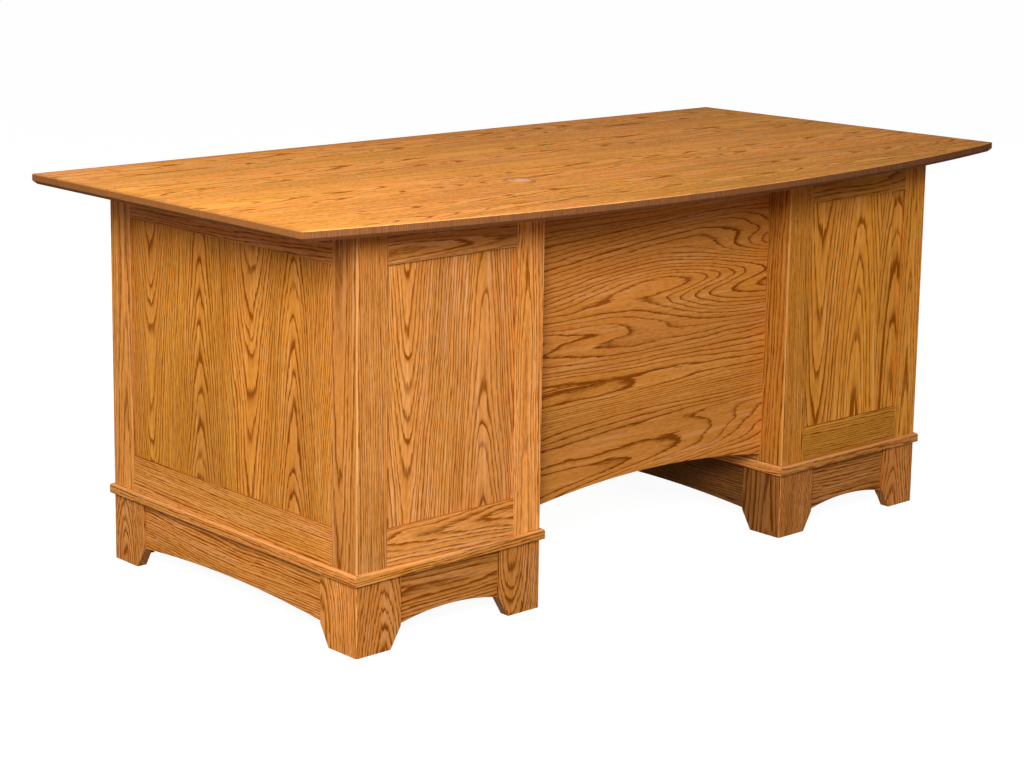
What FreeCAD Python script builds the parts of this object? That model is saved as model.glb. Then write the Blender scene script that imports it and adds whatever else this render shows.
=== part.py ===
"""Bow-front pedestal desk in oak.

Two frame-and-panel pedestals stand on bracket feet and carry a bowed top. A modesty panel closes the
kneehole on the visitor side, and seven drawers on telescopic slides open on the user side.

The frame is +X along the desk, +Y towards the user and +Z up. The origin is on the floor in the
middle of the desk's overall box. All sizes are millimetres.
"""
import FreeCAD
import Part
import os

# Driving dimensions: overall and top
DESK_HEIGHT = 762.0
TOP_LENGTH = 1829.0
TOP_THICKNESS = 19.0
TOP_BOW = 107.0
TOP_END_OVERHANG = 154.5
TOP_VISITOR_OVERHANG = 50.0
TOP_USER_OVERHANG = 20.0
TOP_UNDER_CHAMFER = 6.5
TOP_EDGE_EASE = 1.5

# Driving dimensions: pedestals
PEDESTAL_WIDTH = 428.0
PEDESTAL_DEPTH = 740.0
FRAME_THICKNESS = 20.0
STILE_WIDTH = 68.0
RAIL_HEIGHT = 68.0
CORNER_EASE = 2.0
PANEL_THICKNESS = 8.0
PANEL_RECESS = 6.0
PANEL_GROOVE = 10.0
PANEL_EDGE_ROOM = 1.0
FLOOR_BOARD_THICKNESS = 12.0

# Driving dimensions: user-side face frame and its drawer openings
FACE_STILE = 38.0
FACE_TOP_RAIL = 28.0
FACE_DIVIDER = 20.0
FACE_BOTTOM_RAIL = 32.0
BOX_DRAWER_OPENING = 106.0

# Driving dimensions: band, feet and aprons below the pedestals
BASE_HEIGHT = 130.0
BAND_THICKNESS = 19.0
BAND_REACH = 6.4
BAND_WIDTH = 60.0
BAND_ROUND = 5.0
FOOT_WIDTH = 99.0
FOOT_THICKNESS = 20.0
FOOT_CHAMFER_RUN = 23.0
FOOT_CHAMFER_RISE = 39.0
FOOT_BLOCK_SIZE = 40.0
FOOT_BLOCK_CLEARANCE = 25.0
APRON_SETBACK = 6.0
APRON_THICKNESS = 14.0
APRON_ARCH = 13.0

# Driving dimensions: modesty panel and the cleats inside
MODESTY_SETBACK = 56.0
MODESTY_THICKNESS = 19.0
MODESTY_END_HEIGHT = 163.0
MODESTY_ARCH = 27.0
CLEAT_SIZE = 20.0
MODESTY_CLEAT_RISE = 60.0
SCREW_RADIUS = 2.5
SCREW_HEAD_RADIUS = 4.5
SCREW_HEAD_THICKNESS = 3.0
SCREW_BITE = 12.0
SCREW_ROOM = 0.3
SCREW_END_DISTANCE = 120.0

# Driving dimensions: cable grommet
GROMMET_PEDESTAL_DISTANCE = 67.0
GROMMET_SETBACK = 141.0
GROMMET_HOLE_RADIUS = 25.4
GROMMET_FLANGE_RADIUS = 30.0
GROMMET_FLANGE_THICKNESS = 2.0
GROMMET_WALL = 2.8
GROMMET_SLEEVE_LENGTH = 15.0
GROMMET_LEDGE_REACH = 2.8
GROMMET_LEDGE_THICKNESS = 2.0
GROMMET_ROOM = 0.3
CAP_THICKNESS = 4.0
CABLE_SLOT_WIDTH = 16.0
CABLE_SLOT_DEPTH = 14.0

# Driving dimensions: drawers
DRAWER_REVEAL = 2.5
FRONT_THICKNESS = 20.0
DRAWER_DEPTH = 560.0
DRAWER_BOARD = 13.0
DRAWER_BOTTOM = 6.0
DRAWER_BOTTOM_RISE = 10.0
DRAWER_GROOVE = 6.0
DRAWER_LOW_ROOM = 10.0
DRAWER_HIGH_ROOM = 14.0
CENTRE_DRAWER_DEPTH = 440.0
CENTRE_DRAWER_OPENING = 76.0

# Driving dimensions: telescopic slides
SLIDE_LENGTH = 550.0
CENTRE_SLIDE_LENGTH = 430.0
SLIDE_HEIGHT = 45.0
SLIDE_SPACE = 12.7
SLIDE_SHEET = 1.2
SLIDE_PLAY = 1.3
SLIDE_BALL_ROOM = 1.8
SLIDE_FRONT_ROOM = 2.0
BATTEN_MARGIN = 7.0

# Driving dimensions: pulls
PULL_SPAN = 96.0
PULL_FOOT_LENGTH = 14.0
PULL_PROJECTION = 26.0
PULL_BAR = 6.0
PULL_HEIGHT = 12.0
PULL_SCREW_RADIUS = 2.0
PULL_SCREW_BITE = 5.0

# Heights that follow from the driving dimensions
BODY_LOW = BASE_HEIGHT + BAND_THICKNESS
BODY_HIGH = DESK_HEIGHT - TOP_THICKNESS

# Places along the desk that follow: the pedestals keep their distance from the ends of the top
OUTER_X = TOP_LENGTH / 2 - TOP_END_OVERHANG
INNER_X = OUTER_X - PEDESTAL_WIDTH
GROMMET_X = GROMMET_PEDESTAL_DISTANCE - INNER_X

# Depths that follow: the overall box is centred on the origin
VISITOR_REACH = TOP_VISITOR_OVERHANG + TOP_BOW
USER_REACH = max(TOP_USER_OVERHANG, PULL_PROJECTION)
VISITOR_Y = VISITOR_REACH - (VISITOR_REACH + PEDESTAL_DEPTH + USER_REACH) / 2
USER_Y = VISITOR_Y + PEDESTAL_DEPTH
FRONT_BACK_Y = USER_Y - FRONT_THICKNESS
MODESTY_Y = VISITOR_Y + MODESTY_SETBACK
CLEAT_Y = MODESTY_Y + MODESTY_THICKNESS

# Each pedestal: its low and high X, and which of its faces is the outer one
PEDESTALS = {
    "left": (-OUTER_X, -INNER_X, {"outer": "low_x", "knee": "high_x"}),
    "right": (INNER_X, OUTER_X, {"outer": "high_x", "knee": "low_x"}),
}


def vector(x, y, z):
    """Point or direction."""
    return FreeCAD.Vector(x, y, z)


def box(x, y, z):
    """Box from a (low, high) pair along each axis."""
    return Part.makeBox(x[1] - x[0], y[1] - y[0], z[1] - z[0], vector(x[0], y[0], z[0]))


def cylinder(radius, start, end):
    """Round bar from one point to another."""
    return Part.makeCylinder(radius, start.distanceToPoint(end), start, end - start)


def solid_of(edges, sweep):
    """Solid swept along a straight line by the flat outline that the edges close."""
    return Part.Face(Part.Wire(Part.__sortEdges__(edges))).extrude(sweep)


def line(start, end):
    """Straight edge between two points."""
    return Part.makeLine(start, end)


def arc(start, middle, end):
    """Circular edge through three points."""
    return Part.Arc(start, middle, end).toShape()


def prism(points, z):
    """Upright prism from a plan outline and a (low, high) pair of heights."""
    corners = [vector(px, py, z[0]) for px, py in points]
    return Part.Face(Part.makePolygon(corners + corners[:1])).extrude(vector(0, 0, z[1] - z[0]))


def mirrored(shape, middle_x):
    """Mirror image of a shape about the plane X = middle_x."""
    return shape.mirror(vector(middle_x, 0, 0), vector(1, 0, 0))


def face_place(pedestal, face):
    """Placement and width of one pedestal face.

    In a face's own frame X runs left to right as seen from outside, Y goes inward and Z is up.
    """
    low_x, high_x, _ = PEDESTALS[pedestal]
    corner, angle, width = {
        "visitor": ((low_x, VISITOR_Y), 0, PEDESTAL_WIDTH),
        "high_x": ((high_x, VISITOR_Y), 90, PEDESTAL_DEPTH),
        "user": ((high_x, USER_Y), 180, PEDESTAL_WIDTH),
        "low_x": ((low_x, USER_Y), 270, PEDESTAL_DEPTH),
    }[face]
    turn = FreeCAD.Rotation(vector(0, 0, 1), angle)
    return FreeCAD.Placement(vector(corner[0], corner[1], 0), turn), width


def placed(shapes, place):
    """The shapes moved from a face's own frame to the desk's frame."""
    moved = []
    for shape in shapes:
        copy = shape.copy()
        copy.Placement = place.multiply(copy.Placement)
        moved.append(copy)
    return moved


def mitred_plan(width, thickness):
    """Plan of a board that starts at an eased, mitred corner."""
    half_ease = CORNER_EASE / 2
    return [(CORNER_EASE, 0), (half_ease, half_ease), (thickness, thickness), (width, thickness), (width, 0)]


def mitred_stiles(face_width, stile_width, thickness):
    """The two upright boards at the ends of a face."""
    stile = prism(mitred_plan(stile_width, thickness), (BODY_LOW, BODY_HIGH))
    return [stile, mirrored(stile, face_width / 2)]


def framed_face(face_width):
    """Stiles and rails of a face, grooved for its flat panel, and the panel itself."""
    boards = mitred_stiles(face_width, STILE_WIDTH, FRAME_THICKNESS)
    rail_x = (STILE_WIDTH, face_width - STILE_WIDTH)
    boards.append(box(rail_x, (0, FRAME_THICKNESS), (BODY_LOW, BODY_LOW + RAIL_HEIGHT)))
    boards.append(box(rail_x, (0, FRAME_THICKNESS), (BODY_HIGH - RAIL_HEIGHT, BODY_HIGH)))

    def in_groove(depth):
        panel_y = (PANEL_RECESS, PANEL_RECESS + PANEL_THICKNESS)
        panel_z = (BODY_LOW + RAIL_HEIGHT - depth, BODY_HIGH - RAIL_HEIGHT + depth)
        return box((rail_x[0] - depth, rail_x[1] + depth), panel_y, panel_z)

    groove = in_groove(PANEL_GROOVE)
    return [board.cut(groove) for board in boards], in_groove(PANEL_GROOVE - PANEL_EDGE_ROOM)


def drawer_openings():
    """Height pairs of the openings in a pedestal's face frame, from the top down."""
    upper_top = BODY_HIGH - FACE_TOP_RAIL
    middle_top = upper_top - BOX_DRAWER_OPENING - FACE_DIVIDER
    file_top = middle_top - BOX_DRAWER_OPENING - FACE_DIVIDER
    return {
        "upper": (upper_top - BOX_DRAWER_OPENING, upper_top),
        "middle": (middle_top - BOX_DRAWER_OPENING, middle_top),
        "file": (BODY_LOW + FACE_BOTTOM_RAIL, file_top),
    }


def face_frame():
    """User-side frame: two stiles, the top and bottom rails and the dividers between the drawers."""
    boards = mitred_stiles(PEDESTAL_WIDTH, FACE_STILE, FRAME_THICKNESS)
    upper, middle, file_drawer = drawer_openings().values()
    rails = [
        (upper[1], BODY_HIGH),
        (middle[1], upper[0]),
        (file_drawer[1], middle[0]),
        (BODY_LOW, file_drawer[0]),
    ]
    rail_x = (FACE_STILE, PEDESTAL_WIDTH - FACE_STILE)
    boards += [box(rail_x, (0, FRAME_THICKNESS), rail_z) for rail_z in rails]
    return boards


def band_board(face_width):
    """Mitred board of the band: it reaches past the face and its upper outer edge is rounded."""
    front = -BAND_REACH
    back = BAND_WIDTH - BAND_REACH
    half_round = BAND_ROUND * 0.5 ** 0.5
    start = vector(front, front + BAND_ROUND, BODY_LOW)
    end = vector(front, front, BODY_LOW - BAND_ROUND)
    centre = vector(front, front + BAND_ROUND, BODY_LOW - BAND_ROUND)
    low_front = vector(front, front, BASE_HEIGHT)
    low_back = vector(front, back, BASE_HEIGHT)
    high_back = vector(front, back, BODY_LOW)
    edges = [
        arc(start, centre + vector(0, -half_round, half_round), end),
        line(end, low_front),
        line(low_front, low_back),
        line(low_back, high_back),
        line(high_back, start),
    ]
    strip = solid_of(edges, vector(face_width + 2 * BAND_REACH, 0, 0))
    plan = [(front, front), (face_width - front, front), (face_width - back, back), (back, back)]
    return strip.common(prism(plan, (BASE_HEIGHT, BODY_LOW)))


def foot_boards(face_width):
    """The two bracket-foot boards of a face, mitred at the corners and chamfered at the floor."""
    outline = [
        vector(0, 0, 0),
        vector(FOOT_WIDTH - FOOT_CHAMFER_RUN, 0, 0),
        vector(FOOT_WIDTH, 0, FOOT_CHAMFER_RISE),
        vector(FOOT_WIDTH, 0, BASE_HEIGHT),
        vector(0, 0, BASE_HEIGHT),
        vector(0, 0, 0),
    ]
    board = Part.Face(Part.makePolygon(outline)).extrude(vector(0, FOOT_THICKNESS, 0))
    foot = board.common(prism(mitred_plan(FOOT_WIDTH, FOOT_THICKNESS), (0, BASE_HEIGHT)))
    return [foot, mirrored(foot, face_width / 2)]


def arched_board(x, y, ends_z, arch, top_z):
    """Board whose lower edge is an arc: it rises by ARCH from its ends to its middle."""
    low_left = vector(x[0], y[0], ends_z)
    low_right = vector(x[1], y[0], ends_z)
    crown = vector((x[0] + x[1]) / 2, y[0], ends_z + arch)
    high_left = vector(x[0], y[0], top_z)
    high_right = vector(x[1], y[0], top_z)
    edges = [
        arc(low_left, crown, low_right),
        line(low_right, high_right),
        line(high_right, high_left),
        line(high_left, low_left),
    ]
    return solid_of(edges, vector(0, y[1] - y[0], 0))


def apron(face_width):
    """Arched apron between the two feet of a face."""
    apron_x = (FOOT_WIDTH, face_width - FOOT_WIDTH)
    apron_y = (APRON_SETBACK, APRON_SETBACK + APRON_THICKNESS)
    return arched_board(apron_x, apron_y, FOOT_CHAMFER_RISE, APRON_ARCH, BASE_HEIGHT)


def foot_block():
    """Glue block in the corner behind a pair of foot boards."""
    span = (FOOT_THICKNESS, FOOT_THICKNESS + FOOT_BLOCK_SIZE)
    return box(span, span, (FOOT_BLOCK_CLEARANCE, BASE_HEIGHT))


def desk_top():
    """Top board with a bowed visitor edge, eased above and chamfered below, before its holes are cut."""
    half = TOP_LENGTH / 2
    end_y = VISITOR_Y - TOP_VISITOR_OVERHANG
    back_y = USER_Y + TOP_USER_OVERHANG
    left_front = vector(-half, end_y, BODY_HIGH)
    right_front = vector(half, end_y, BODY_HIGH)
    left_back = vector(-half, back_y, BODY_HIGH)
    right_back = vector(half, back_y, BODY_HIGH)
    edges = [
        arc(left_front, vector(0, end_y - TOP_BOW, BODY_HIGH), right_front),
        line(right_front, right_back),
        line(right_back, left_back),
        line(left_back, left_front),
    ]
    board = solid_of(edges, vector(0, 0, TOP_THICKNESS))
    board = board.makeChamfer(TOP_UNDER_CHAMFER, edges_at(board, BODY_HIGH))
    return board.makeChamfer(TOP_EDGE_EASE, edges_at(board, DESK_HEIGHT))


def edges_at(shape, height):
    """Edges of a shape that lie wholly at one height."""
    tolerance = 1e-6
    found = []
    for edge in shape.Edges:
        bounds = edge.BoundBox
        if abs(bounds.ZMin - height) < tolerance and abs(bounds.ZMax - height) < tolerance:
            found.append(edge)
    return found


def grommet_axis(z):
    """Point on the grommet's axis at one height."""
    return vector(GROMMET_X, VISITOR_Y + GROMMET_SETBACK, z)


def grommet_liner():
    """Flanged sleeve with a ledge for the cap."""
    outer = GROMMET_HOLE_RADIUS - GROMMET_ROOM
    bore = outer - GROMMET_WALL
    ledge_top = DESK_HEIGHT + GROMMET_FLANGE_THICKNESS - CAP_THICKNESS
    top = DESK_HEIGHT + GROMMET_FLANGE_THICKNESS
    low = DESK_HEIGHT - GROMMET_SLEEVE_LENGTH
    flange = cylinder(GROMMET_FLANGE_RADIUS, grommet_axis(DESK_HEIGHT), grommet_axis(top))
    body = flange.fuse(cylinder(outer, grommet_axis(low), grommet_axis(top)))
    ledge_low = ledge_top - GROMMET_LEDGE_THICKNESS
    body = body.cut(cylinder(bore, grommet_axis(ledge_top), grommet_axis(top)))
    body = body.cut(cylinder(bore, grommet_axis(low), grommet_axis(ledge_low)))
    body = body.cut(cylinder(bore - GROMMET_LEDGE_REACH, grommet_axis(low), grommet_axis(top)))
    return body.removeSplitter()


def grommet_cap():
    """Lift-out cap with a slot for cables on its user side."""
    radius = GROMMET_HOLE_RADIUS - GROMMET_WALL - 2 * GROMMET_ROOM
    top = DESK_HEIGHT + GROMMET_FLANGE_THICKNESS
    disc = cylinder(radius, grommet_axis(top - CAP_THICKNESS), grommet_axis(top))
    axis = grommet_axis(top)
    slot_x = (axis.x - CABLE_SLOT_WIDTH / 2, axis.x + CABLE_SLOT_WIDTH / 2)
    slot_y = (axis.y + radius - CABLE_SLOT_DEPTH, axis.y + radius)
    return disc.cut(box(slot_x, slot_y, (top - CAP_THICKNESS, top)))


def modesty_panel():
    """Arched panel across the kneehole."""
    panel_x = (-INNER_X, INNER_X)
    return arched_board(panel_x, (MODESTY_Y, CLEAT_Y), MODESTY_END_HEIGHT, MODESTY_ARCH, BODY_HIGH)


def modesty_cleats():
    """Cleats behind the modesty panel: one on each pedestal and one under the top."""
    cleat_y = (CLEAT_Y, CLEAT_Y + CLEAT_SIZE)
    side_z = (MODESTY_END_HEIGHT + MODESTY_CLEAT_RISE, BODY_HIGH)
    side = box((-INNER_X, -INNER_X + CLEAT_SIZE), cleat_y, side_z)
    across_x = (-INNER_X + CLEAT_SIZE, INNER_X - CLEAT_SIZE)
    return [side, mirrored(side, 0), box(across_x, cleat_y, (BODY_HIGH - CLEAT_SIZE, BODY_HIGH))]


def top_cleats(pedestal):
    """Cleats along the upper inside of a pedestal, which hold the top."""
    low_x, high_x, _ = PEDESTALS[pedestal]
    inside_x = (low_x + FRAME_THICKNESS, low_x + FRAME_THICKNESS + CLEAT_SIZE)
    inside_y = (VISITOR_Y + FRAME_THICKNESS, USER_Y - FRAME_THICKNESS)
    cleat = box(inside_x, inside_y, (BODY_HIGH - CLEAT_SIZE, BODY_HIGH))
    return [cleat, mirrored(cleat, (low_x + high_x) / 2)]


def top_screw_places():
    """Plan positions of the screws that go up through the cleats into the top."""
    inset = FRAME_THICKNESS + CLEAT_SIZE / 2
    places = []
    for low_x, high_x, _ in PEDESTALS.values():
        for x in (low_x + inset, high_x - inset):
            for y in (VISITOR_Y + SCREW_END_DISTANCE, USER_Y - SCREW_END_DISTANCE):
                places.append((x, y))
    return places


def top_screw(place, room):
    """Screw from below a cleat into the top, with ROOM added round its shank for the hole it goes in."""
    x, y = place
    low = BODY_HIGH - CLEAT_SIZE
    return cylinder(SCREW_RADIUS + room, vector(x, y, low), vector(x, y, BODY_HIGH + SCREW_BITE + room))


def top_screw_head(place):
    """Head of a top screw, against the underside of its cleat."""
    x, y = place
    low = BODY_HIGH - CLEAT_SIZE
    return cylinder(SCREW_HEAD_RADIUS, vector(x, y, low - SCREW_HEAD_THICKNESS), vector(x, y, low))


def floor_board(pedestal):
    """Board inside a pedestal, on top of the band."""
    low_x, high_x, _ = PEDESTALS[pedestal]
    board_x = (low_x + FRAME_THICKNESS, high_x - FRAME_THICKNESS)
    board_y = (VISITOR_Y + FRAME_THICKNESS, USER_Y - FRAME_THICKNESS)
    return box(board_x, board_y, (BODY_LOW, BODY_LOW + FLOOR_BOARD_THICKNESS))


def slide_battens(pedestal, slide_z):
    """Battens on both sides of a drawer, flush with the face frame's stiles, that carry its slides."""
    low_x, high_x, _ = PEDESTALS[pedestal]
    half = SLIDE_HEIGHT / 2 + BATTEN_MARGIN
    batten_y = (VISITOR_Y + FRAME_THICKNESS, USER_Y - FRAME_THICKNESS)
    batten = box((low_x + FRAME_THICKNESS, low_x + FACE_STILE), batten_y, (slide_z - half, slide_z + half))
    return [batten, mirrored(batten, (low_x + high_x) / 2)]


def channel(web_x, rim_x, y, middle_z, half_height):
    """Sheet channel along Y, with its web at WEB_X and its flanges reaching to RIM_X."""
    sheet = SLIDE_SHEET if rim_x > web_x else -SLIDE_SHEET
    outer = box(sorted((web_x, rim_x)), y, (middle_z - half_height, middle_z + half_height))
    inner_half = half_height - SLIDE_SHEET
    inner_x = sorted((web_x + sheet, rim_x))
    return outer.cut(box(inner_x, y, (middle_z - inner_half, middle_z + inner_half)))


def slide_members(opening_x, slide_z, length):
    """Cabinet, intermediate and drawer members of a drawer's two slides, as three lists."""
    high_y = FRONT_BACK_Y - SLIDE_FRONT_ROOM
    y = (high_y - length, high_y)
    half = SLIDE_HEIGHT / 2
    step = SLIDE_SHEET + SLIDE_BALL_ROOM
    nest = SLIDE_SHEET + SLIDE_PLAY
    rim = SLIDE_SPACE - SLIDE_PLAY
    wall_x = opening_x[0]
    members = []
    for web, edge, half_height in (
        (0, rim, half),
        (nest, rim, half - step),
        (SLIDE_SPACE, 2 * nest, half - 2 * step),
    ):
        member = channel(wall_x + web, wall_x + edge, y, slide_z, half_height)
        members.append([member, mirrored(member, sum(opening_x) / 2)])
    return members


def drawer_box_heights(opening_z):
    """Low and high edge of a drawer box inside its opening."""
    return opening_z[0] + DRAWER_LOW_ROOM, opening_z[1] - DRAWER_HIGH_ROOM


def drawer_box(opening_x, box_z, depth):
    """Drawer box behind a front: two sides, an inner front, a back and a bottom in their grooves."""
    x = (opening_x[0] + SLIDE_SPACE, opening_x[1] - SLIDE_SPACE)
    y = (FRONT_BACK_Y - depth, FRONT_BACK_Y)
    inside_x = (x[0] + DRAWER_BOARD, x[1] - DRAWER_BOARD)
    boards = [
        box((x[0], inside_x[0]), y, box_z),
        box((inside_x[1], x[1]), y, box_z),
        box(inside_x, (y[1] - DRAWER_BOARD, y[1]), box_z),
        box(inside_x, (y[0], y[0] + DRAWER_BOARD), box_z),
    ]
    lap = DRAWER_BOARD - DRAWER_GROOVE
    bottom_low = box_z[0] + DRAWER_BOTTOM_RISE
    bottom_x = (x[0] + lap, x[1] - lap)
    bottom = box(bottom_x, (y[0] + lap, y[1] - lap), (bottom_low, bottom_low + DRAWER_BOTTOM))
    return [board.cut(bottom) for board in boards], bottom


def pull(middle_x, middle_z):
    """Bow pull: an arched bar that thickens towards its feet."""
    half = PULL_SPAN / 2
    outer_half = half + PULL_FOOT_LENGTH / 2
    inner_half = half - PULL_FOOT_LENGTH / 2
    low_z = middle_z - PULL_HEIGHT / 2
    outer_left = vector(middle_x - outer_half, USER_Y, low_z)
    outer_right = vector(middle_x + outer_half, USER_Y, low_z)
    inner_left = vector(middle_x - inner_half, USER_Y, low_z)
    inner_right = vector(middle_x + inner_half, USER_Y, low_z)
    edges = [
        arc(outer_left, vector(middle_x, USER_Y + PULL_PROJECTION, low_z), outer_right),
        line(outer_right, inner_right),
        arc(inner_right, vector(middle_x, USER_Y + PULL_PROJECTION - PULL_BAR, low_z), inner_left),
        line(inner_left, outer_left),
    ]
    return solid_of(edges, vector(0, 0, PULL_HEIGHT))


def pull_screws(middle_x, middle_z, room):
    """Shanks of a pull's two screws, from inside the drawer into its feet, with ROOM added round them."""
    inside_y = FRONT_BACK_Y - DRAWER_BOARD
    end_y = USER_Y + PULL_SCREW_BITE + room
    shanks = []
    for x in (middle_x - PULL_SPAN / 2, middle_x + PULL_SPAN / 2):
        shank = cylinder(PULL_SCREW_RADIUS + room, vector(x, inside_y, middle_z), vector(x, end_y, middle_z))
        shanks.append(shank)
    return shanks


def pull_screw_heads(middle_x, middle_z):
    """Heads of a pull's two screws, against the inside of the drawer's inner front."""
    inside_y = FRONT_BACK_Y - DRAWER_BOARD
    heads = []
    for x in (middle_x - PULL_SPAN / 2, middle_x + PULL_SPAN / 2):
        low = vector(x, inside_y - SCREW_HEAD_THICKNESS, middle_z)
        heads.append(cylinder(SCREW_HEAD_RADIUS, low, vector(x, inside_y, middle_z)))
    return heads


def drawer(opening_x, opening_z, depth, slide_length):
    """Every piece of one drawer, by name, and the cabinet members of its slides."""
    middle_x = sum(opening_x) / 2
    front_x = (opening_x[0] + DRAWER_REVEAL, opening_x[1] - DRAWER_REVEAL)
    front_z = (opening_z[0] + DRAWER_REVEAL, opening_z[1] - DRAWER_REVEAL)
    box_z = drawer_box_heights(opening_z)
    pull_z = sum(box_z) / 2
    front = box(front_x, (FRONT_BACK_Y, USER_Y), front_z)
    boards, bottom = drawer_box(opening_x, box_z, depth)
    handle = pull(middle_x, pull_z)
    for hole in pull_screws(middle_x, pull_z, SCREW_ROOM):
        front = front.cut(hole)
        handle = handle.cut(hole)
        boards = [board.cut(hole) for board in boards]
    screws = []
    for shank, head in zip(pull_screws(middle_x, pull_z, 0), pull_screw_heads(middle_x, pull_z)):
        screws.append(shank.fuse(head).removeSplitter())
    cabinet, links, runners = slide_members(opening_x, pull_z, slide_length)
    pieces = {
        "front": [front],
        "box": boards + [bottom],
        "pull": [handle] + screws,
        "runners": runners,
        "links": links,
    }
    return pieces, cabinet


def drawer_places():
    """Opening, depth and slide length of every drawer, by name."""
    places = {}
    for side, (low_x, high_x, _) in PEDESTALS.items():
        opening_x = (low_x + FACE_STILE, high_x - FACE_STILE)
        for level, opening_z in drawer_openings().items():
            places[side + "_" + level] = (opening_x, opening_z, DRAWER_DEPTH, SLIDE_LENGTH)
    centre_z = (BODY_HIGH - CENTRE_DRAWER_OPENING, BODY_HIGH)
    centre_x = (-INNER_X, INNER_X)
    places["centre"] = (centre_x, centre_z, CENTRE_DRAWER_DEPTH, CENTRE_SLIDE_LENGTH)
    return places


def pedestal_nodes():
    """Frames, panels and base boards of both pedestals, by node name."""
    nodes = {"floor_boards": [], "base_bands": [], "bracket_feet": [], "base_aprons": [], "battens": []}
    for side, (_, _, named_faces) in PEDESTALS.items():
        faces = {"visitor": "visitor", **named_faces}
        for name, face in faces.items():
            place, width = face_place(side, face)
            frame, panel = framed_face(width)
            nodes[side + "_" + name + "_frame"] = placed(frame, place)
            nodes[side + "_" + name + "_panel"] = placed([panel], place)
        user_place, _ = face_place(side, "user")
        nodes[side + "_face_frame"] = placed(face_frame(), user_place)
        for face in ("visitor", "high_x", "user", "low_x"):
            place, width = face_place(side, face)
            nodes["base_bands"] += placed([band_board(width)], place)
            nodes["bracket_feet"] += placed(foot_boards(width), place)
            nodes["base_aprons"] += placed([apron(width)], place)
            nodes["battens"] += placed([foot_block()], place)
        nodes["floor_boards"].append(floor_board(side))
        nodes["battens"] += top_cleats(side)
        for opening_z in drawer_openings().values():
            nodes["battens"] += slide_battens(side, sum(drawer_box_heights(opening_z)) / 2)
    return nodes


def all_nodes():
    """Every node of the desk: its name and its solids."""
    nodes = pedestal_nodes()
    nodes["battens"] += modesty_cleats()
    nodes["modesty_panel"] = [modesty_panel()]
    nodes["grommet_liner"] = [grommet_liner()]
    nodes["grommet_cap"] = [grommet_cap()]
    below = BODY_HIGH - TOP_THICKNESS
    above = DESK_HEIGHT + TOP_THICKNESS
    top = desk_top().cut(cylinder(GROMMET_HOLE_RADIUS, grommet_axis(below), grommet_axis(above)))
    nodes["top_screws"] = []
    for place in top_screw_places():
        hole = top_screw(place, SCREW_ROOM)
        top = top.cut(hole)
        nodes["battens"] = [batten.cut(hole) for batten in nodes["battens"]]
        nodes["top_screws"].append(top_screw(place, 0).fuse(top_screw_head(place)).removeSplitter())
    nodes["desk_top"] = [top]
    nodes["slide_rails"] = []
    for name, place in drawer_places().items():
        pieces, cabinet_members = drawer(*place)
        nodes["slide_rails"] += cabinet_members
        for piece, solids in pieces.items():
            nodes[name + "_drawer_" + piece] = solids
    return nodes


def export(nodes):
    """Write one file per node."""
    os.makedirs("parts", exist_ok=True)
    for name, solids in nodes.items():
        shape = solids[0] if len(solids) == 1 else Part.makeCompound(solids)
        shape.exportStep("parts/" + name + ".step")


export(all_nodes())
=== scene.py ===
"""Finished look of a bow-front oak desk, laid over its construction model.

Every board, drawer and fitting is a surface worked out from the boxes of the construction model, and each
takes a finish mixed from procedural nodes. The frame is +X along the desk, +Y towards the user and +Z up,
in metres.
"""

import math
from collections import namedtuple

import bpy
import numpy as np
from bpy.props import FloatProperty, FloatVectorProperty, IntProperty, PointerProperty
from mathutils import Matrix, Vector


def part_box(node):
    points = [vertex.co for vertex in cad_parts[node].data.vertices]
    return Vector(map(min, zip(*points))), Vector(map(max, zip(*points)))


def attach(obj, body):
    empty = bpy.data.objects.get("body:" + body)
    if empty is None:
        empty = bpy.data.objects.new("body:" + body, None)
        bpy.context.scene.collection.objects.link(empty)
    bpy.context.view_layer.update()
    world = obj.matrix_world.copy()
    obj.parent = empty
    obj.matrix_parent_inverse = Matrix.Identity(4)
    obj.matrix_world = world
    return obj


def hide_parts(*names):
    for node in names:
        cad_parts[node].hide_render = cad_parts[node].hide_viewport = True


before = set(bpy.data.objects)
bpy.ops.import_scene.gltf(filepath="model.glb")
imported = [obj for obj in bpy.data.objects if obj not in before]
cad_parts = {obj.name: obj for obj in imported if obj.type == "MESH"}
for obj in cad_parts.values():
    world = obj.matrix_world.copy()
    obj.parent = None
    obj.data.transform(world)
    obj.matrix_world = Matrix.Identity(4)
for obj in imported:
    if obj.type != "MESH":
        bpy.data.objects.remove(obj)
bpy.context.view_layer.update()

bl_info = {
    "name": "Bow-front oak desk",
    "version": (1, 0, 0),
    "blender": (4, 5, 0),
    "location": "3D View > Sidebar > Desk",
    "description": "Boards, drawers, fittings and finishes of a bow-front oak desk",
    "category": "Object",
}

SIDES = ("left", "right")
DRAWERS = ("left_upper", "left_middle", "left_file", "right_upper", "right_middle", "right_file", "centre")
# Distance within which a point lies on a board's edge
TOUCH = 1e-6
# Order of the axes for a board carried along X, Y or Z
CARRIED = {"x": [0, 1, 2], "y": [1, 0, 2], "z": [1, 2, 0]}
# Axes across, along and behind the grain
UPRIGHT = (0, 2, 1)
LENGTHWISE = (2, 0, 1)
DEPTHWISE = (2, 1, 0)
FLAT = (1, 0, 2)
# Face of a pedestal: its corner, the directions along it and inward, and its width
Face = namedtuple("Face", "corner along inward width")

# Points along an end, the bow and the back of the top
END_POINTS = 24
BOW_POINTS = 160
BACK_POINTS = 60
# Darkening of the end grain on the top's upright edge at its ends, and painted shade on the bevel below it
END_EDGE_DARKENING = -0.2
PAINTED_BEVEL_SHADE = -0.5
# At the top's ends: end grain on the edge, end grain on the rounding above it, and the share of the edge's
# pale wear and painted highlight that is left
END_CUT = 0.85
END_ROUNDING_CUT = 0.45
END_WEAR_AND_HIGHLIGHT = 0.2
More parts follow.
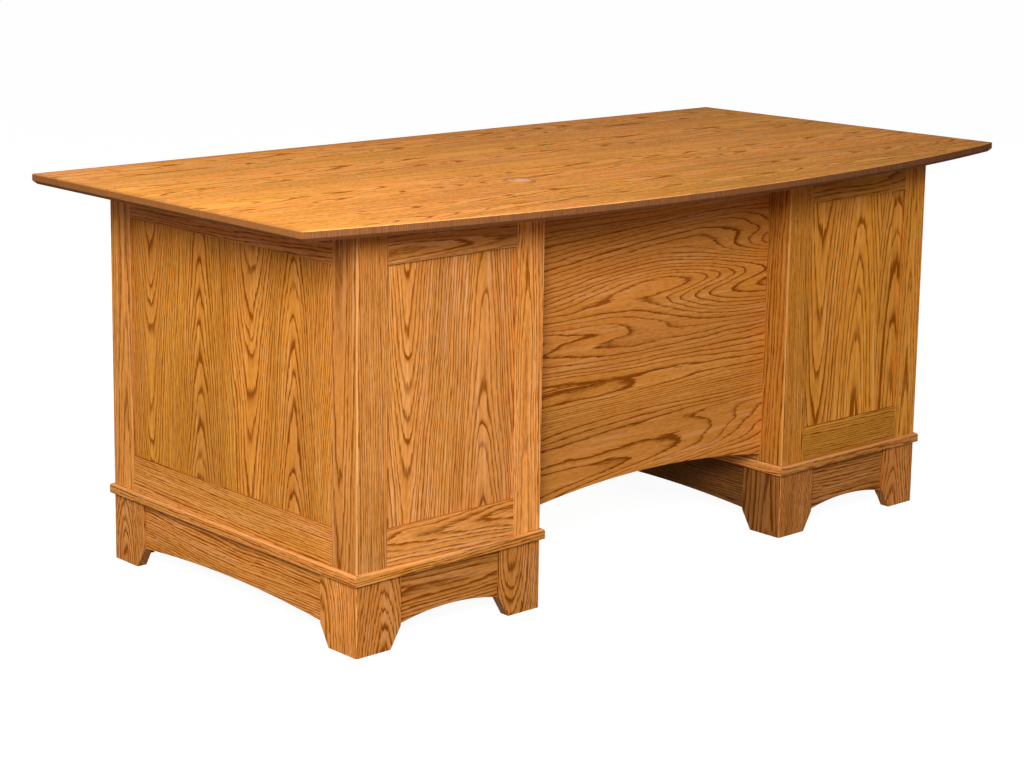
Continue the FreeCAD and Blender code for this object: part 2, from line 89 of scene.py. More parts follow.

# How pale the edges of boards, of the base and of drawer fronts are: wear and a painted highlight
BOARD_WEAR_AND_HIGHLIGHT = 0.3
BASE_WEAR_AND_HIGHLIGHT = 0.4
FRONT_WEAR_AND_HIGHLIGHT = 0.6
# Painted shade on the edges of frames beside their panels' recesses, and darkening on the bevels of feet
RECESS_PAINTED_SHADE = -0.45
BEVEL_DARKENING = -0.35
# Places along a tree that boards, and those of the drawers, are cut from
CUT_SHIFTS = (-40, 40)
DRAWER_SHIFTS = (0, 40)
# Shares of the panels' boards that are rift-sawn and of the feet that are plain-sawn, where none is chosen
RIFT_PANELS = 0.25
PLAIN_FEET = 0.4
# Usual tones of bands, feet and aprons
BAND_TONE = -0.1
FOOT_TONE = -0.13
APRON_TONE = -0.05

# Tones of a frame's left stile, right stile, lower rail and upper rail, as seen from outside
# The upper rails of the left pedestal's outer and visitor frames are darker partly as painted shade under the
# top
FRAME_TONES = {
    "left_outer_frame": (0.02, -0.28, -0.04, -0.22),
    "left_visitor_frame": (-0.13, 0.2, 0.0, -0.18),
    "right_visitor_frame": (0.02, 0.17, -0.11, -0.12),
    "right_knee_frame": (-0.28, -0.28, -0.1, -0.1),
}
# Boards of a frame that are plain-sawn, counted as above
FIGURED_BOARDS = {
    "left_outer_frame": (0, 1, 3), "left_visitor_frame": (1, 2, 3), "right_visitor_frame": (1, 3),
}
# Share of the width, heart's offset as a share of the board, shift, depth, closeness and tone of each board
PANEL_BOARDS = {
    "left_outer_panel": (
        (0.235, -0.05, -11.0, 0.034, 1.15, -0.16), (0.245, 0.0, 17.0, 0.036, 1.15, -0.2),
        (0.23, 0.05, -23.5, 0.045, 1.1, -0.15), (0.19, 0.0, 31.2, 0.034, 1.15, -0.18),
        (0.1, 0.9, 5.5, 0.05, 1.3, -0.18),
    ),
    "left_visitor_panel": ((0.5, -0.14, -7.7, 0.02, 0.95, 0.03), (0.5, 0.0, 27.3, 0.022, 0.85, 0.0)),
    "right_visitor_panel": (
        (0.34, 0.0, -13.1, 0.028, 0.62, 0.12), (0.42, 0.0, 21.9, 0.03, 0.58, 0.16),
        (0.24, 0.2, 35.0, 0.03, 0.6, 0.14),
    ),
}
# Heart behind a foot, and tone of a foot, by side, face and number
FOOT_HEARTS = {
    ("left", "low_x", 0): (-0.015, 15.9, 0.026, 1.14), ("left", "low_x", 1): (-0.045, 7.3, 0.045, 1.2),
    ("left", "visitor", 0): (0.013, 1.23, 0.022, 0.92), ("left", "visitor", 1): (-0.02, -36.1, 0.04, 1.1),
    ("right", "low_x", 1): (0.02, 3.3, 0.02, 0.6), ("right", "visitor", 1): (-0.02, 19.3, 0.03, 0.9),
}
# The right pedestal's knee-side foot at the visitor end is darkened with painted shade in the kneehole
FOOT_TONES = {("right", "low_x", 1): -0.62, ("right", "visitor", 0): -0.25, ("right", "visitor", 1): -0.05}
# Tones of aprons, and the one that is plain-sawn, by side and face; the right pedestal's knee-side apron is
# darkened with painted shade in the kneehole
APRON_TONES = {
    ("left", "visitor"): -0.25, ("left", "low_x"): -0.05,
    ("right", "visitor"): -0.27, ("right", "low_x"): -0.8,
}
FIGURED_APRONS = {("left", "visitor")}
# Heart and tone of the modesty panel
MODESTY_HEART = (-0.55, 23.5, 1.5, 1.0)
MODESTY_TONE = -0.1
# Front edge of each plank of the top as a share of its depth, with the plank's heart, depth and tone
TOP_PLANKS = (
    (0.0, (0.10, 0.30, 0.24)), (0.145, (0.20, 0.55, 0.34)), (0.27, (0.36, 0.20, 0.57)),
    (0.40, (0.43, 0.60, 0.68)), (0.535, (0.62, 0.35, 0.47)), (0.65, (0.70, 0.50, 0.66)),
    (0.78, (0.86, 0.25, 0.48)), (0.905, (0.93, 0.45, 0.46)),
)
# Shift between planks along the tree, closeness of their rings, and reach of their tones
PLANK_SHIFT = 53.0
PLANK_CLOSENESS = 1.7
PLANK_REACH = 0.6
# Range and least value of the depth of a plank's heart, in metres
HEART_DEPTHS = (0.06, 0.03)
# Darkening by distance from the top's back and ends, in metres
RIM_DARKENING_CURVE = ((0.0, 0.3), (0.02, 0.0))
# Brightness of the top, partly painted light, and the painted fall-off of light: how much brightness is lost
# per metre from its left end to its right
TOP_TONE_AND_PAINTED_LIGHT = 0.4
TOP_PAINTED_FALLOFF = -0.1

# Pairs of hues between which the colour of a finish drifts
HUES = {
    "golden": ((1.06, 0.97, 1.3), (1.0, 1.0, 0.98)),
    "olive": ((1.05, 0.97, 0.82), (0.99, 1.0, 0.62)),
    # Hue of the left pedestal's visitor face, partly wood colour and partly painted sheen
    "warm": ((1.04, 0.99, 1.3), (1.0, 1.02, 1.15)),
    "russet": ((1.05, 0.94, 1.05), (0.99, 0.96, 0.8)),
    "foot": ((1.07, 0.97, 1.2), (1.05, 1.01, 1.08)),
    # The top's hues are bluer and paler, partly as painted sheen
    "top": ((1.05, 1.0, 1.25), (1.0, 1.05, 0.95)),
}
# The left pedestal's visitor face takes the hue with painted sheen
FACE_HUES = {"left_visitor_frame": "warm", "left_visitor_panel": "warm", "left_outer_frame": "golden"}
OTHER_HUE = "olive"
# Stretch across and along the grain, and detail, of the noises in oak
OAK_NOISES = {
    "quick": (45.0, 8.0, 1.5), "fibre": (480.0, 16.0, 2.0), "pores": (760.0, 26.0, 1.0),
    "cloud": (9.0, 1.6, 2.0), "streak": (150.0, 4.0, 2.0), "speck": (300.0, 60.0, 1.0),
    "hue": (6.0, 1.1, 1.0),
}
# Darkness of a ring from its first pores to its late wood
RING_DARKNESS = ((0.0, 0.4), (0.04, 1.0), (0.17, 0.9), (0.3, 0.3), (0.5, 0.06), (0.97, 0.0), (1.0, 0.4))
# Furthest place in a ring that a narrowed line is read at
LATE_WOOD = 0.96
# How often and how far the width of rings changes
RING_DRIFT = 14.0
RING_SPREAD = 1.6
# Weights of what darkens oak
VEIN_WEIGHT = 1.35
PORE_WEIGHT = 0.32
FIBRE_WEIGHT = 0.6
STREAK_WEIGHT = -0.45
BASE_DARKNESS = 0.04
# Noise read as pores, as pale streaks and as pale end grain
PORE_CURVE = ((0.5, 0.0), (0.66, 1.0))
STREAK_CURVE = ((0.5, 0.0), (0.72, 0.55))
END_CURVE = ((0.3, 0.0), (0.7, 0.3))
# Stretch along X and Y, detail and stretch along Z of the noise in end grain
END_NOISE = (700.0, 700.0, 2.0, 25.0)
# Places in the noise at which the two hues of a pair stand
HUE_PLACES = (0.3, 0.7)
# Reach of the clouds, share of pale colour on an edge (wear and a painted highlight), and roughness that open
# pores add
CLOUD_REACH = 0.5
WEAR_AND_HIGHLIGHT_SHARE = 0.5
PORE_ROUGHNESS = 0.2

# Place, target and size of each lamp
LAMPS = {
    "key": ((-3.1, -2.95, 2.28), (-0.3, -0.1, 0.45), 1.3),
    "side": ((-2.05, -0.8, 1.75), (-0.95, -0.15, 0.7), 1.1),
    "rear": ((0.3, 3.7, 1.25), (0.0, 0.4, 0.4), 1.6),
}
WHITE = (1, 1, 1, 1)
FLOOR_REACH = 25.0
FLOOR_HEIGHT = -0.0005
CAMERA_PLACE = (-3.1116, -3.2014, 1.3704)
# Degrees that the camera is turned from +Y towards +X, tipped down and rolled
CAMERA_ANGLES = (41.502, 10.483, 0.605)
CAMERA_SHIFT = (0.0572, -0.1137)
SENSOR_WIDTH = 36.0
CAMERA_REACH = 200.0


# Values that a user may change


def amount(name, description, default, **rules):
    """Property for a number that isn't negative."""
    return FloatProperty(name=name, description=description, default=default, min=0, **rules)


def length(name, description, metres):
    """Property for a length."""
    return amount(name, description, metres, precision=4, unit="LENGTH")


def power(name, description, watts):
    """Property for the power of a lamp."""
    return amount(name, description, watts, unit="POWER")


def share(name, description, part, highest=1.0):
    """Property for a share or another plain factor."""
    return amount(name, description, part, max=highest, subtype="FACTOR")


def tint(name, description, colour):
    """Property for a linear colour."""
    return FloatVectorProperty(name=name, description=description, default=colour, min=0, max=1,
                               subtype="COLOR")


class DeskJoinery(bpy.types.PropertyGroup):
    """Sizes of the desk's boards that the construction model's boxes don't give."""

    arris: length("Arris", "Rounding of the plain edges of boards", 0.0007)
    corner_ease: length("Corner ease", "Width taken off the upright corners of the pedestals", 0.002)
    panel_tongue: length("Panel tongue", "Reach of a panel into its frame", 0.009)
    panel_board: length("Panel board", "Usual width of the boards that a panel is glued up from", 0.1)
    top_bow: length("Bow", "Rise of the bowed edge of the top", 0.107)
    top_ease: length("Top ease", "Rounding of the upper edge of the top", 0.0015)
    top_chamfer: length("Top chamfer", "Bevel under the edge of the top", 0.0065)
    top_hole: length("Grommet hole", "Radius of the hole for the grommet", 0.0254)
    band_round: length("Band rounding", "Rounding of the upper edge of the band", 0.005)
    band_width: length("Band width", "Width of the band's boards", 0.06)
    foot_width: length("Foot width", "Width of a bracket foot", 0.099)
    foot_board: length("Foot board", "Thickness of a bracket foot", 0.02)
    foot_run: length("Foot bevel run", "Width of the bevel at the floor", 0.023)
    foot_rise: length("Foot bevel rise", "Height of the bevel at the floor", 0.039)
    apron_setback: length("Apron setback", "Step from the feet back to the apron", 0.006)
    apron_board: length("Apron board", "Thickness of an apron", 0.014)
    apron_arch: length("Apron arch", "Rise of an apron's lower edge", 0.013)
    modesty_arch: length("Modesty arch", "Rise of the modesty panel's lower edge", 0.027)
    drawer_reveal: length("Drawer reveal", "Gap round a drawer front", 0.0025)
    front_round: length("Front rounding", "Rounding round the face of a drawer front", 0.0025)
    front_arris: length("Front arris", "Rounding of a drawer front's back edges", 0.0004)
    drawer_board: length("Drawer board", "Thickness of the sides of a drawer box", 0.013)
    drawer_round: length("Drawer rounding", "Rounding of the edges of a drawer box", 0.001)
    drawer_bottom: length("Drawer bottom", "Thickness of a drawer's bottom", 0.006)
    bottom_rise: length("Bottom rise", "Height of a drawer's bottom above its box's lower edge", 0.01)
    pull_foot: length("Pull foot", "Width of a pull's feet", 0.014)
    pull_bar: length("Pull bar", "Thickness of a pull at its middle", 0.006)
    pull_height: length("Pull height", "Height of a pull", 0.012)
    grommet_wall: length("Grommet wall", "Wall of the grommet's sleeve", 0.0028)
    grommet_room: length("Grommet room", "Gap between the grommet's sleeve and its hole", 0.0003)
    grommet_ledge: length("Grommet ledge", "Thickness of the ledge that the cap rests on", 0.002)


class DeskFinishes(bpy.types.PropertyGroup):
    """Colours and figure of the desk's woods and metals."""

    oak_light: tint("Light oak", "Stained oak between the dark lines of its rings", (0.78, 0.308, 0.052))
    oak_dark: tint("Dark oak", "Stain held in the open pores of a ring", (0.29, 0.074, 0.002))
    # Pale colour of eased edges, partly wear and partly a painted highlight, and of pale streaks
    oak_edge: tint("Pale edge and highlight", "Stained oak where an edge is rubbed thin", (0.88, 0.46, 0.17))
    oak_end: tint("End grain", "Stained oak across the cut fibres", (0.165, 0.058, 0.031))
    ring_spacing: length("Ring spacing", "Usual distance between two rings", 0.0052)
    lacquer: share("Lacquer roughness", "Roughness of the satin lacquer", 0.42)
    drawer_light: tint("Drawer wood", "Pale wood of the drawer boxes", (0.72, 0.52, 0.29))
    drawer_dark: tint("Drawer wood line", "Lines in the wood of the drawer boxes", (0.50, 0.31, 0.14))
    inner_light: tint("Inner wood", "Planed wood of battens and floor boards", (0.60, 0.43, 0.24))
    inner_dark: tint("Inner wood line", "Lines in the planed wood", (0.40, 0.25, 0.11))
    bronze: tint("Bronze", "Darkened bronze of the pulls", (0.075, 0.048, 0.032))
    bronze_rubbed: tint("Rubbed bronze", "Bronze where hands have rubbed it", (0.34, 0.19, 0.10))
    steel: tint("Steel", "Zinc-plated steel of slides and screws", (0.56, 0.57, 0.59))
    grommet: tint("Grommet", "Moulded plastic of the grommet", (0.66, 0.26, 0.045))
    # The cap's paler colour is a painted highlight on the grommet
    grommet_cap: tint("Grommet cap", "Paler plastic of the grommet's cap", (0.98, 0.42, 0.12))
    grain_seed: IntProperty(name="Grain seed", description="Choice of the boards' grain", default=5, min=0)


class DeskStudio(bpy.types.PropertyGroup):
    """Floor, lamps and camera."""

    floor: tint("Floor", "Colour of the floor", (0.22, 0.22, 0.22))
    glow: share("Floor glow", "White that the camera sees added to the floor", 0.95)
    ambient: share("Ambient", "Light from all round", 0.17, 2.0)
    key: power("Key lamp", "Power of the main lamp", 171.0)
    side: power("Side lamp", "Power of the lamp at the left end", 21.3)
    rear: power("Rear lamp", "Power of the lamp behind", 38.0)
    lens: FloatProperty(name="Lens", description="Focal length", default=80.86, min=1, unit="CAMERA")


# Shapes


def oblong(first, second):
    """Corners of the oblong between two pairs of bounds."""
    return [(first[0], second[0]), (first[1], second[0]), (first[1], second[1]), (first[0], second[1])]


def rounded(corners, radius, steps=2, grow=1.0):
    """Convex outlines with rounded corners, one outline per section.

    A corner is drawn in along the normals of both its sides by its radius. A point of the rounded corner is
    that inner corner plus the radius, times GROW, along a normal that turns evenly from one side's normal to
    the next one's. Also returns how near each point is to the middle of its rounding, from 0 to 1.
    """
    corners = np.asarray(corners, float).reshape(-1, *np.shape(corners)[-2:])
    radius = np.broadcast_to(np.asarray(radius, float), corners.shape[1:2])
    following = np.roll(corners, -1, axis=1)
    turning = corners[..., 0] * following[..., 1] - corners[..., 1] * following[..., 0]
    if turning[0].sum() < 0:
        corners = corners[:, ::-1]
        radius = radius[::-1]
    side = np.roll(corners, -1, axis=1) - corners
    side = side / np.linalg.norm(side, axis=-1, keepdims=True)
    after = np.stack([side[..., 1], -side[..., 0]], axis=-1)
    before = np.roll(after, 1, axis=1)
    alike = np.sum(before * after, axis=-1)
    radius = radius[None, :, None]
    core = corners - radius * (before + after) / (1 + alike)[..., None]
    start = np.arctan2(before[..., 1], before[..., 0])
    turn = np.arctan2(before[..., 0] * after[..., 1] - before[..., 1] * after[..., 0], alike)
    part_way = np.linspace(0, 1, steps + 1) if steps else np.array([0.5])
    angle = start[..., None] + turn[..., None] * part_way
    normal = np.stack([np.cos(angle), np.sin(angle)], axis=-1)
    grow = np.broadcast_to(np.asarray(grow, float), corners.shape[:1])[:, None, None, None]
    points = core[:, :, None, :] + radius[..., None] * grow * normal
    nearness = np.tile(1 - np.abs(2 * part_way - 1), corners.shape[1])
    arris = nearness * np.repeat(radius[0, :, 0] > 0, len(part_way))
    return points.reshape(len(corners), -1, 2), arris


def closed(grid, arris, capped=True):
    """Closed part of a grid of points whose columns come back to their start.

    Four neighbours make a face. The first and last rows are closed with flat caps, or join each other.
    """
    index = np.arange(grid.shape[0] * grid.shape[1]).reshape(grid.shape[:2])
    near, far = (index[:-1], index[1:]) if capped else (index, np.roll(index, -1, axis=0))
    quads = np.stack([near, np.roll(near, -1, axis=1), np.roll(far, -1, axis=1), far], axis=-1)
    return {
        "points": grid.reshape(-1, 3),
        "quads": quads.reshape(-1, 4),
        "caps": [index[0][::-1], index[-1]] if capped else [],
        "arris": np.broadcast_to(arris, index.shape).ravel(),
        "cut": np.zeros(index.size),
    }


def sweep(outline, path, axis, slope=0.0):
    """Closed board: outlines carried along a path, with a flat cap at each end.

    A point of section i is (path[i] + slope[i] times the outline's first value, outline), with the path
    along the given axis. A slope of 1 cuts that end to a mitre.
    """
    points, arris = outline
    path = np.asarray(path, float)
    points = np.broadcast_to(points, (len(path),) + points.shape[1:])
    along = path[:, None] + np.reshape(slope, (-1, 1)) * points[..., 0]
    grid = np.stack([along, points[..., 0], points[..., 1]], axis=-1)[..., CARRIED[axis]]
    return closed(grid, arris)


def revolve(outline, centre, turns=72):
    """Ring turned about an upright axis: radius and height of the outline carried round a circle."""
    points, arris = outline
    angle = np.linspace(0, 2 * math.pi, turns, endpoint=False)
    radius, height = points[0].T[..., None]
    x = centre[0] + radius * np.cos(angle)
    y = centre[1] + radius * np.sin(angle)
    grid = np.stack([x, y, np.broadcast_to(height, x.shape)], axis=-1)
    return closed(grid, arris[:, None], capped=False)


def facing_out(part):
    """The part with its faces turned outwards: the signed volume of its faces' fans is made positive."""
    points = part["points"] - part["points"].mean(axis=0)
    fans = [part["quads"][:, [0, 1, 2]], part["quads"][:, [0, 2, 3]]]
    for cap in part["caps"]:
        fans.append(np.stack([np.full(len(cap) - 2, cap[0]), cap[1:-1], cap[2:]], axis=-1))
    a, b, c = np.moveaxis(points[np.concatenate(fans)], 1, 0)
    if np.einsum("ij,ij->", a, np.cross(b, c)) < 0:
        part["quads"] = part["quads"][:, ::-1]
        part["caps"] = [cap[::-1] for cap in part["caps"]]
    return part


def board(x, y, z, radius, axis="x"):
    """Straight board in a box: an oblong with rounded corners, carried along X, Y or Z."""
    path, first, second = {"x": (x, y, z), "y": (y, x, z), "z": (z, x, y)}[axis]
    return sweep(rounded(oblong(first, second), radius, 2 if radius else 0), path, axis)


def mitred_stile(width, thickness, z, ease, radius):
    """Upright board whose first edge is mitred, with half of the eased corner taken off."""
    half = ease / 2
    plan = [(ease, 0), (half, half), (thickness, thickness), (width, thickness), (width, 0)]
    points, arris = rounded(plan, radius)
    x, y = points[0].T
    # The eased corner is painted fully pale: wear and a painted highlight along the pedestal's corner
    corner = (np.hypot(x, y) < 1.5 * ease) & (y > TOUCH)
    return sweep((points, np.maximum(arris * BOARD_WEAR_AND_HIGHLIGHT, corner)), z, "z")


def mirrored(part, width):
    """Mirror image of a part across the middle of a face."""
    return {**part, "points": part["points"] * (-1, 1, 1) + (width, 0, 0)}


def arc_radius(half, rise):
    """Radius of an arc: (half span squared plus rise squared) over twice the rise."""
    return (half ** 2 + rise ** 2) / (2 * rise)


def arched_board(x, y, ends_z, arch, top_z, radius, sections=49):
    """Board along X whose lower edge is a circular arc, ARCH higher in its middle than at its ends.

    The height of a point of the arc is the arc's centre plus the root of its radius squared minus the
    point's distance from the middle squared.
    """
    path = np.linspace(x[0], x[1], sections)
    half = (x[1] - x[0]) / 2
    bend = arc_radius(half, arch)
    low = ends_z + arch - bend + np.sqrt(bend ** 2 - (path - x[0] - half) ** 2)
    corners = np.empty((sections, 4, 2))
    corners[:, (0, 3), 0] = y[0]
    corners[:, (1, 2), 0] = y[1]
    corners[:, 0:2, 1] = low[:, None]
    corners[:, 2:4, 1] = top_z
    return sweep(rounded(corners, radius), path, "x")


def bowed_outline(inset, half, y, bow):
    """Left end, bowed edge, right end and straight back of the top, drawn in by INSET.

    The ends and the back are straight lines. The bowed edge is an arc about a point behind it.
    """
    bend = arc_radius(half, bow)
    end = half - inset
    radius = bend - inset
    centre = y[0] + bend
    corner = centre - math.sqrt(radius ** 2 - end ** 2)
    back = y[1] - inset
    along_end = np.linspace(0, 1, END_POINTS, endpoint=False)
    along_back = np.linspace(0, 1, BACK_POINTS, endpoint=False)
    angle = np.linspace(-1, 1, BOW_POINTS, endpoint=False) * math.asin(end / radius)
    left = np.stack([np.full(END_POINTS, -end), back + (corner - back) * along_end], axis=-1)
    front = np.stack([radius * np.sin(angle), centre - radius * np.cos(angle)], axis=-1)
    right = np.stack([np.full(END_POINTS, end), corner + (back - corner) * along_end], axis=-1)
    rear = np.stack([end - 2 * end * along_back, np.full(BACK_POINTS, back)], axis=-1)
    return np.concatenate([left, front, right, rear])


def bow_pull(middle, half, projection, joinery, sections=49, around=24, softness=0.75, waist=0.18):
    """Bowed bar: a rounded section carried between an outer and an inner arc.

    Each arc goes through its two feet and its crown. A point of the section is the middle between the arcs
    plus a softened cosine times half the gap, and a softened sine times half the pull's height.
    """
    def arc(reach, rise):
        """Points of the arc with that half span and rise."""
        radius = arc_radius(reach, rise)
        angle = np.linspace(-1, 1, sections) * math.asin(reach / radius)
        return np.stack([radius * np.sin(angle), rise - radius + radius * np.cos(angle)], axis=-1)

    outer = arc(half, projection)
    inner = arc(half - joinery.pull_foot, projection - joinery.pull_bar)
    angle = np.linspace(0, 2 * math.pi, around, endpoint=False)
    out = np.sign(np.cos(angle)) * np.abs(np.cos(angle)) ** softness
    up = np.sign(np.sin(angle)) * np.abs(np.sin(angle)) ** softness
    crown = np.sin(np.linspace(0, math.pi, sections))[:, None]
    plan = ((outer + inner) / 2)[:, None, :] + ((outer - inner) / 2)[:, None, :] * out[None, :, None]
    height = 0.5 * joinery.pull_height * (1 - waist * crown) * up
    grid = np.concatenate([plan, height[..., None]], axis=-1) + np.array(middle)
    return closed(grid, crown * np.clip(out, 0, 1))


def screw_head(place, radius=0.0045, thickness=0.003, rows=6, around=20, flat=0.08):
    """Domed screw head: circles whose radius and height follow a quarter of an ellipse."""
    angle = np.linspace(0, 2 * math.pi, around, endpoint=False)
    turn = np.linspace(flat, math.pi / 2, rows)[:, None]
    wide = radius * np.sin(turn)
    x = place[0] + wide * np.cos(angle)
    y = np.broadcast_to(place[1] + thickness * (1 - np.cos(turn)), x.shape)
    z = place[2] + wide * np.sin(angle)
    return closed(np.stack([x, y, z], axis=-1), 0.0)


# Grain


def grained(part, axes, pith, tone):
    """The part with its grain: every point's place across, along and behind the heart of its tree."""
    across, along, depth = axes
    points = part["points"]
    low = points.min(axis=0)
    middle = (low + points.max(axis=0)) / 2
    offset, shift, behind, close = pith
    part["grain"] = close * np.stack([
        points[:, across] - middle[across] - offset,
        math.copysign(1.0, shift) * (points[:, along] - middle[along]) + shift,
        points[:, depth] - low[depth] + behind,
    ], axis=-1)
    # The tone takes the painted shade on frames' recess edges and the darkening on feet's bevels
    part["tone"] = tone + part.get("glaze", np.zeros(len(points)))
    return part


def plain_sawn(rng, width):
    """Heart of the tree behind a board: arches show on its face."""
    offset = rng.uniform(-0.22, 0.22) * width
    return (offset, rng.uniform(*CUT_SHIFTS), rng.uniform(0.015, 0.04), rng.uniform(0.9, 1.2))


def rift_sawn(rng, width):
    """Heart of the tree beside a board: straight lines show on its face."""
    side = rng.choice((-1.0, 1.0))
    offset = side * (0.5 * width + rng.uniform(0.01, 0.05))
    return (offset, rng.uniform(*CUT_SHIFTS), rng.uniform(0.035, 0.06), rng.uniform(1.0, 1.6))


def tone_of(rng, spread=0.07):
    """How much lighter or darker than usual a board is."""
    return float(np.clip(rng.normal(0, spread), -2 * spread, 2 * spread))


# Pieces


def piece(node, ending, parts, material, body="carcass", smooth_below=40):
    """One object of several closed parts, which rides on a body and stands for a construction node."""
    parts = [facing_out(part) for part in parts]
    starts = np.cumsum([0] + [len(part["points"]) for part in parts[:-1]])
    faces = []
    for start, part in zip(starts, parts):
        faces += (part["quads"] + start).tolist()
        faces += [(cap + start).tolist() for cap in part["caps"]]
    name = node + "." + ending
    mesh = bpy.data.meshes.new(name)
    mesh.from_pydata(np.concatenate([part["points"] for part in parts]).tolist(), [], faces)
    for key, kind, field in (("grain", "FLOAT_VECTOR", "vector"), ("tone", "FLOAT", "value"),
                             ("arris", "FLOAT", "value"), ("cut", "FLOAT", "value")):
        if all(key in part for part in parts):
            values = np.concatenate([part[key] for part in parts]).astype(np.float32)
            mesh.attributes.new(key, kind, "POINT").data.foreach_set(field, values.ravel())
    mesh.polygons.foreach_set("use_smooth", np.ones(len(mesh.polygons), bool))
    mesh.set_sharp_from_angle(angle=math.radians(smooth_below))
    mesh.materials.append(material)
    mesh.update()
    made = bpy.data.objects.new(name, mesh)
    bpy.context.scene.collection.objects.link(made)
    made.modifiers.new("flat faces", "WEIGHTED_NORMAL").keep_sharp = True
    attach(made, body)
    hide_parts(node)


def finish_nodes(nodes, material):
    """Give construction nodes that stay in view a finish."""
    for node in nodes:
        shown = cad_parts[node]
        if not shown.material_slots:
            shown.data.materials.append(material)
        for slot in shown.material_slots:
            slot.material = material


def spans(node):
    """Low and high of a construction node's box along X, Y and Z."""
    low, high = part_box(node)
    return [(float(a), float(b)) for a, b in zip(low, high)]


def pedestal_faces(side):
    """The four faces of a pedestal.

    In a face's own frame X runs left to right as seen from outside, Y goes inward and Z is up.
    """
    names = ("_outer_frame", "_knee_frame", "_visitor_frame", "_face_frame")
    boxes = np.array([spans(side + name) for name in names])
    low_x, low_y, _ = boxes[..., 0].min(axis=0).tolist()
    high_x, high_y, _ = boxes[..., 1].max(axis=0).tolist()
    return {
        "visitor": Face((low_x, low_y), (1, 0), (0, 1), high_x - low_x),
        "high_x": Face((high_x, low_y), (0, 1), (-1, 0), high_y - low_y),
        "user": Face((high_x, high_y), (-1, 0), (0, -1), high_x - low_x),
        "low_x": Face((low_x, high_y), (0, -1), (1, 0), high_y - low_y),
    }


def all_faces():
    """Side, name and face of all faces of both pedestals."""
    return [(side, name, face) for side in SIDES for name, face in pedestal_faces(side).items()]


def framed_faces():
    """Name and face of each pedestal's outer, visitor and knee side."""
    rows = []
    for side, outer, knee in (("left", "low_x", "high_x"), ("right", "high_x", "low_x")):
        faces = pedestal_faces(side)
        rows += [(side + "_outer", faces[outer]), (side + "_visitor", faces["visitor"]),
                 (side + "_knee", faces[knee])]
    return rows


def on_face(parts, face):
    """Parts moved from a face's own frame to the desk's frame."""
    corner, along, inward, _ = face
    for part in parts:
        local = part["points"]
        part["points"] = np.stack([
            corner[0] + local[:, 0] * along[0] + local[:, 1] * inward[0],
            corner[1] + local[:, 0] * along[1] + local[:, 1] * inward[1],
            local[:, 2],
        ], axis=-1)
    return parts


def frame_boards(face, z, thickness, stile, rails, joinery, rng, tones=None, figured=()):
    """Two mitred stiles and the rails between them, on their face."""
    width = face.width
    tones = tones or [tone_of(rng) for _ in range(2 + len(rails))]
    cuts = [plain_sawn if number in figured else rift_sawn for number in range(2 + len(rails))]
    upright = mitred_stile(stile, thickness, z, joinery.corner_ease, joinery.arris)
    # Painted shade on the stile's edge beside the panel's recess
    upright["glaze"] = np.where(upright["points"][:, 0] > stile - TOUCH, RECESS_PAINTED_SHADE, 0.0)
    boards = []
    for number, part in enumerate((dict(upright), mirrored(upright, width))):
        boards.append(grained(part, UPRIGHT, cuts[number](rng, stile), tones[number]))
    for number, rail_z in enumerate(rails, 2):
        rail = board((stile, width - stile), (0, thickness), rail_z, joinery.arris)
        rail["arris"] = rail["arris"] * BOARD_WEAR_AND_HIGHLIGHT
        height = rail_z[1] - rail_z[0]
        # Painted shade on the rail's long edges beside the panel's recess
        edge = np.abs(rail["points"][:, 2] - sum(rail_z) / 2) > height / 2 - TOUCH
        rail["glaze"] = np.where(edge, RECESS_PAINTED_SHADE, 0.0)
        boards.append(grained(rail, LENGTHWISE, cuts[number](rng, height), tones[number]))
    return on_face(boards, face)


def glued_panel(x, y, z, usual, rng, chosen=None):
    """Flat panel of upright boards glued edge to edge.

    Chosen boards are rows of PANEL_BOARDS. Other boards are a little wider or narrower than usual, and some
    of them are rift-sawn.
    """
    width = x[1] - x[0]
    count = len(chosen) if chosen else max(2, round(width / usual))
    weights = np.array([row[0] for row in chosen]) if chosen else rng.uniform(0.8, 1.2, count)
    edges = x[0] + np.concatenate([[0], np.cumsum(weights) / weights.sum()]) * width
    boards = []
    for number, (low, high) in enumerate(zip(edges[:-1], edges[1:])):
        part = board((low, high), y, z, 0, "z")
        if chosen:
            _, offset, shift, behind, close, tone = chosen[number]
            pith = (offset * (high - low), shift, behind, close)
        else:
            pith = (rift_sawn if rng.random() < RIFT_PANELS else plain_sawn)(rng, high - low)
            tone = tone_of(rng, 0.06)
        boards.append(grained(part, UPRIGHT, pith, tone))
    return boards


# Finishes


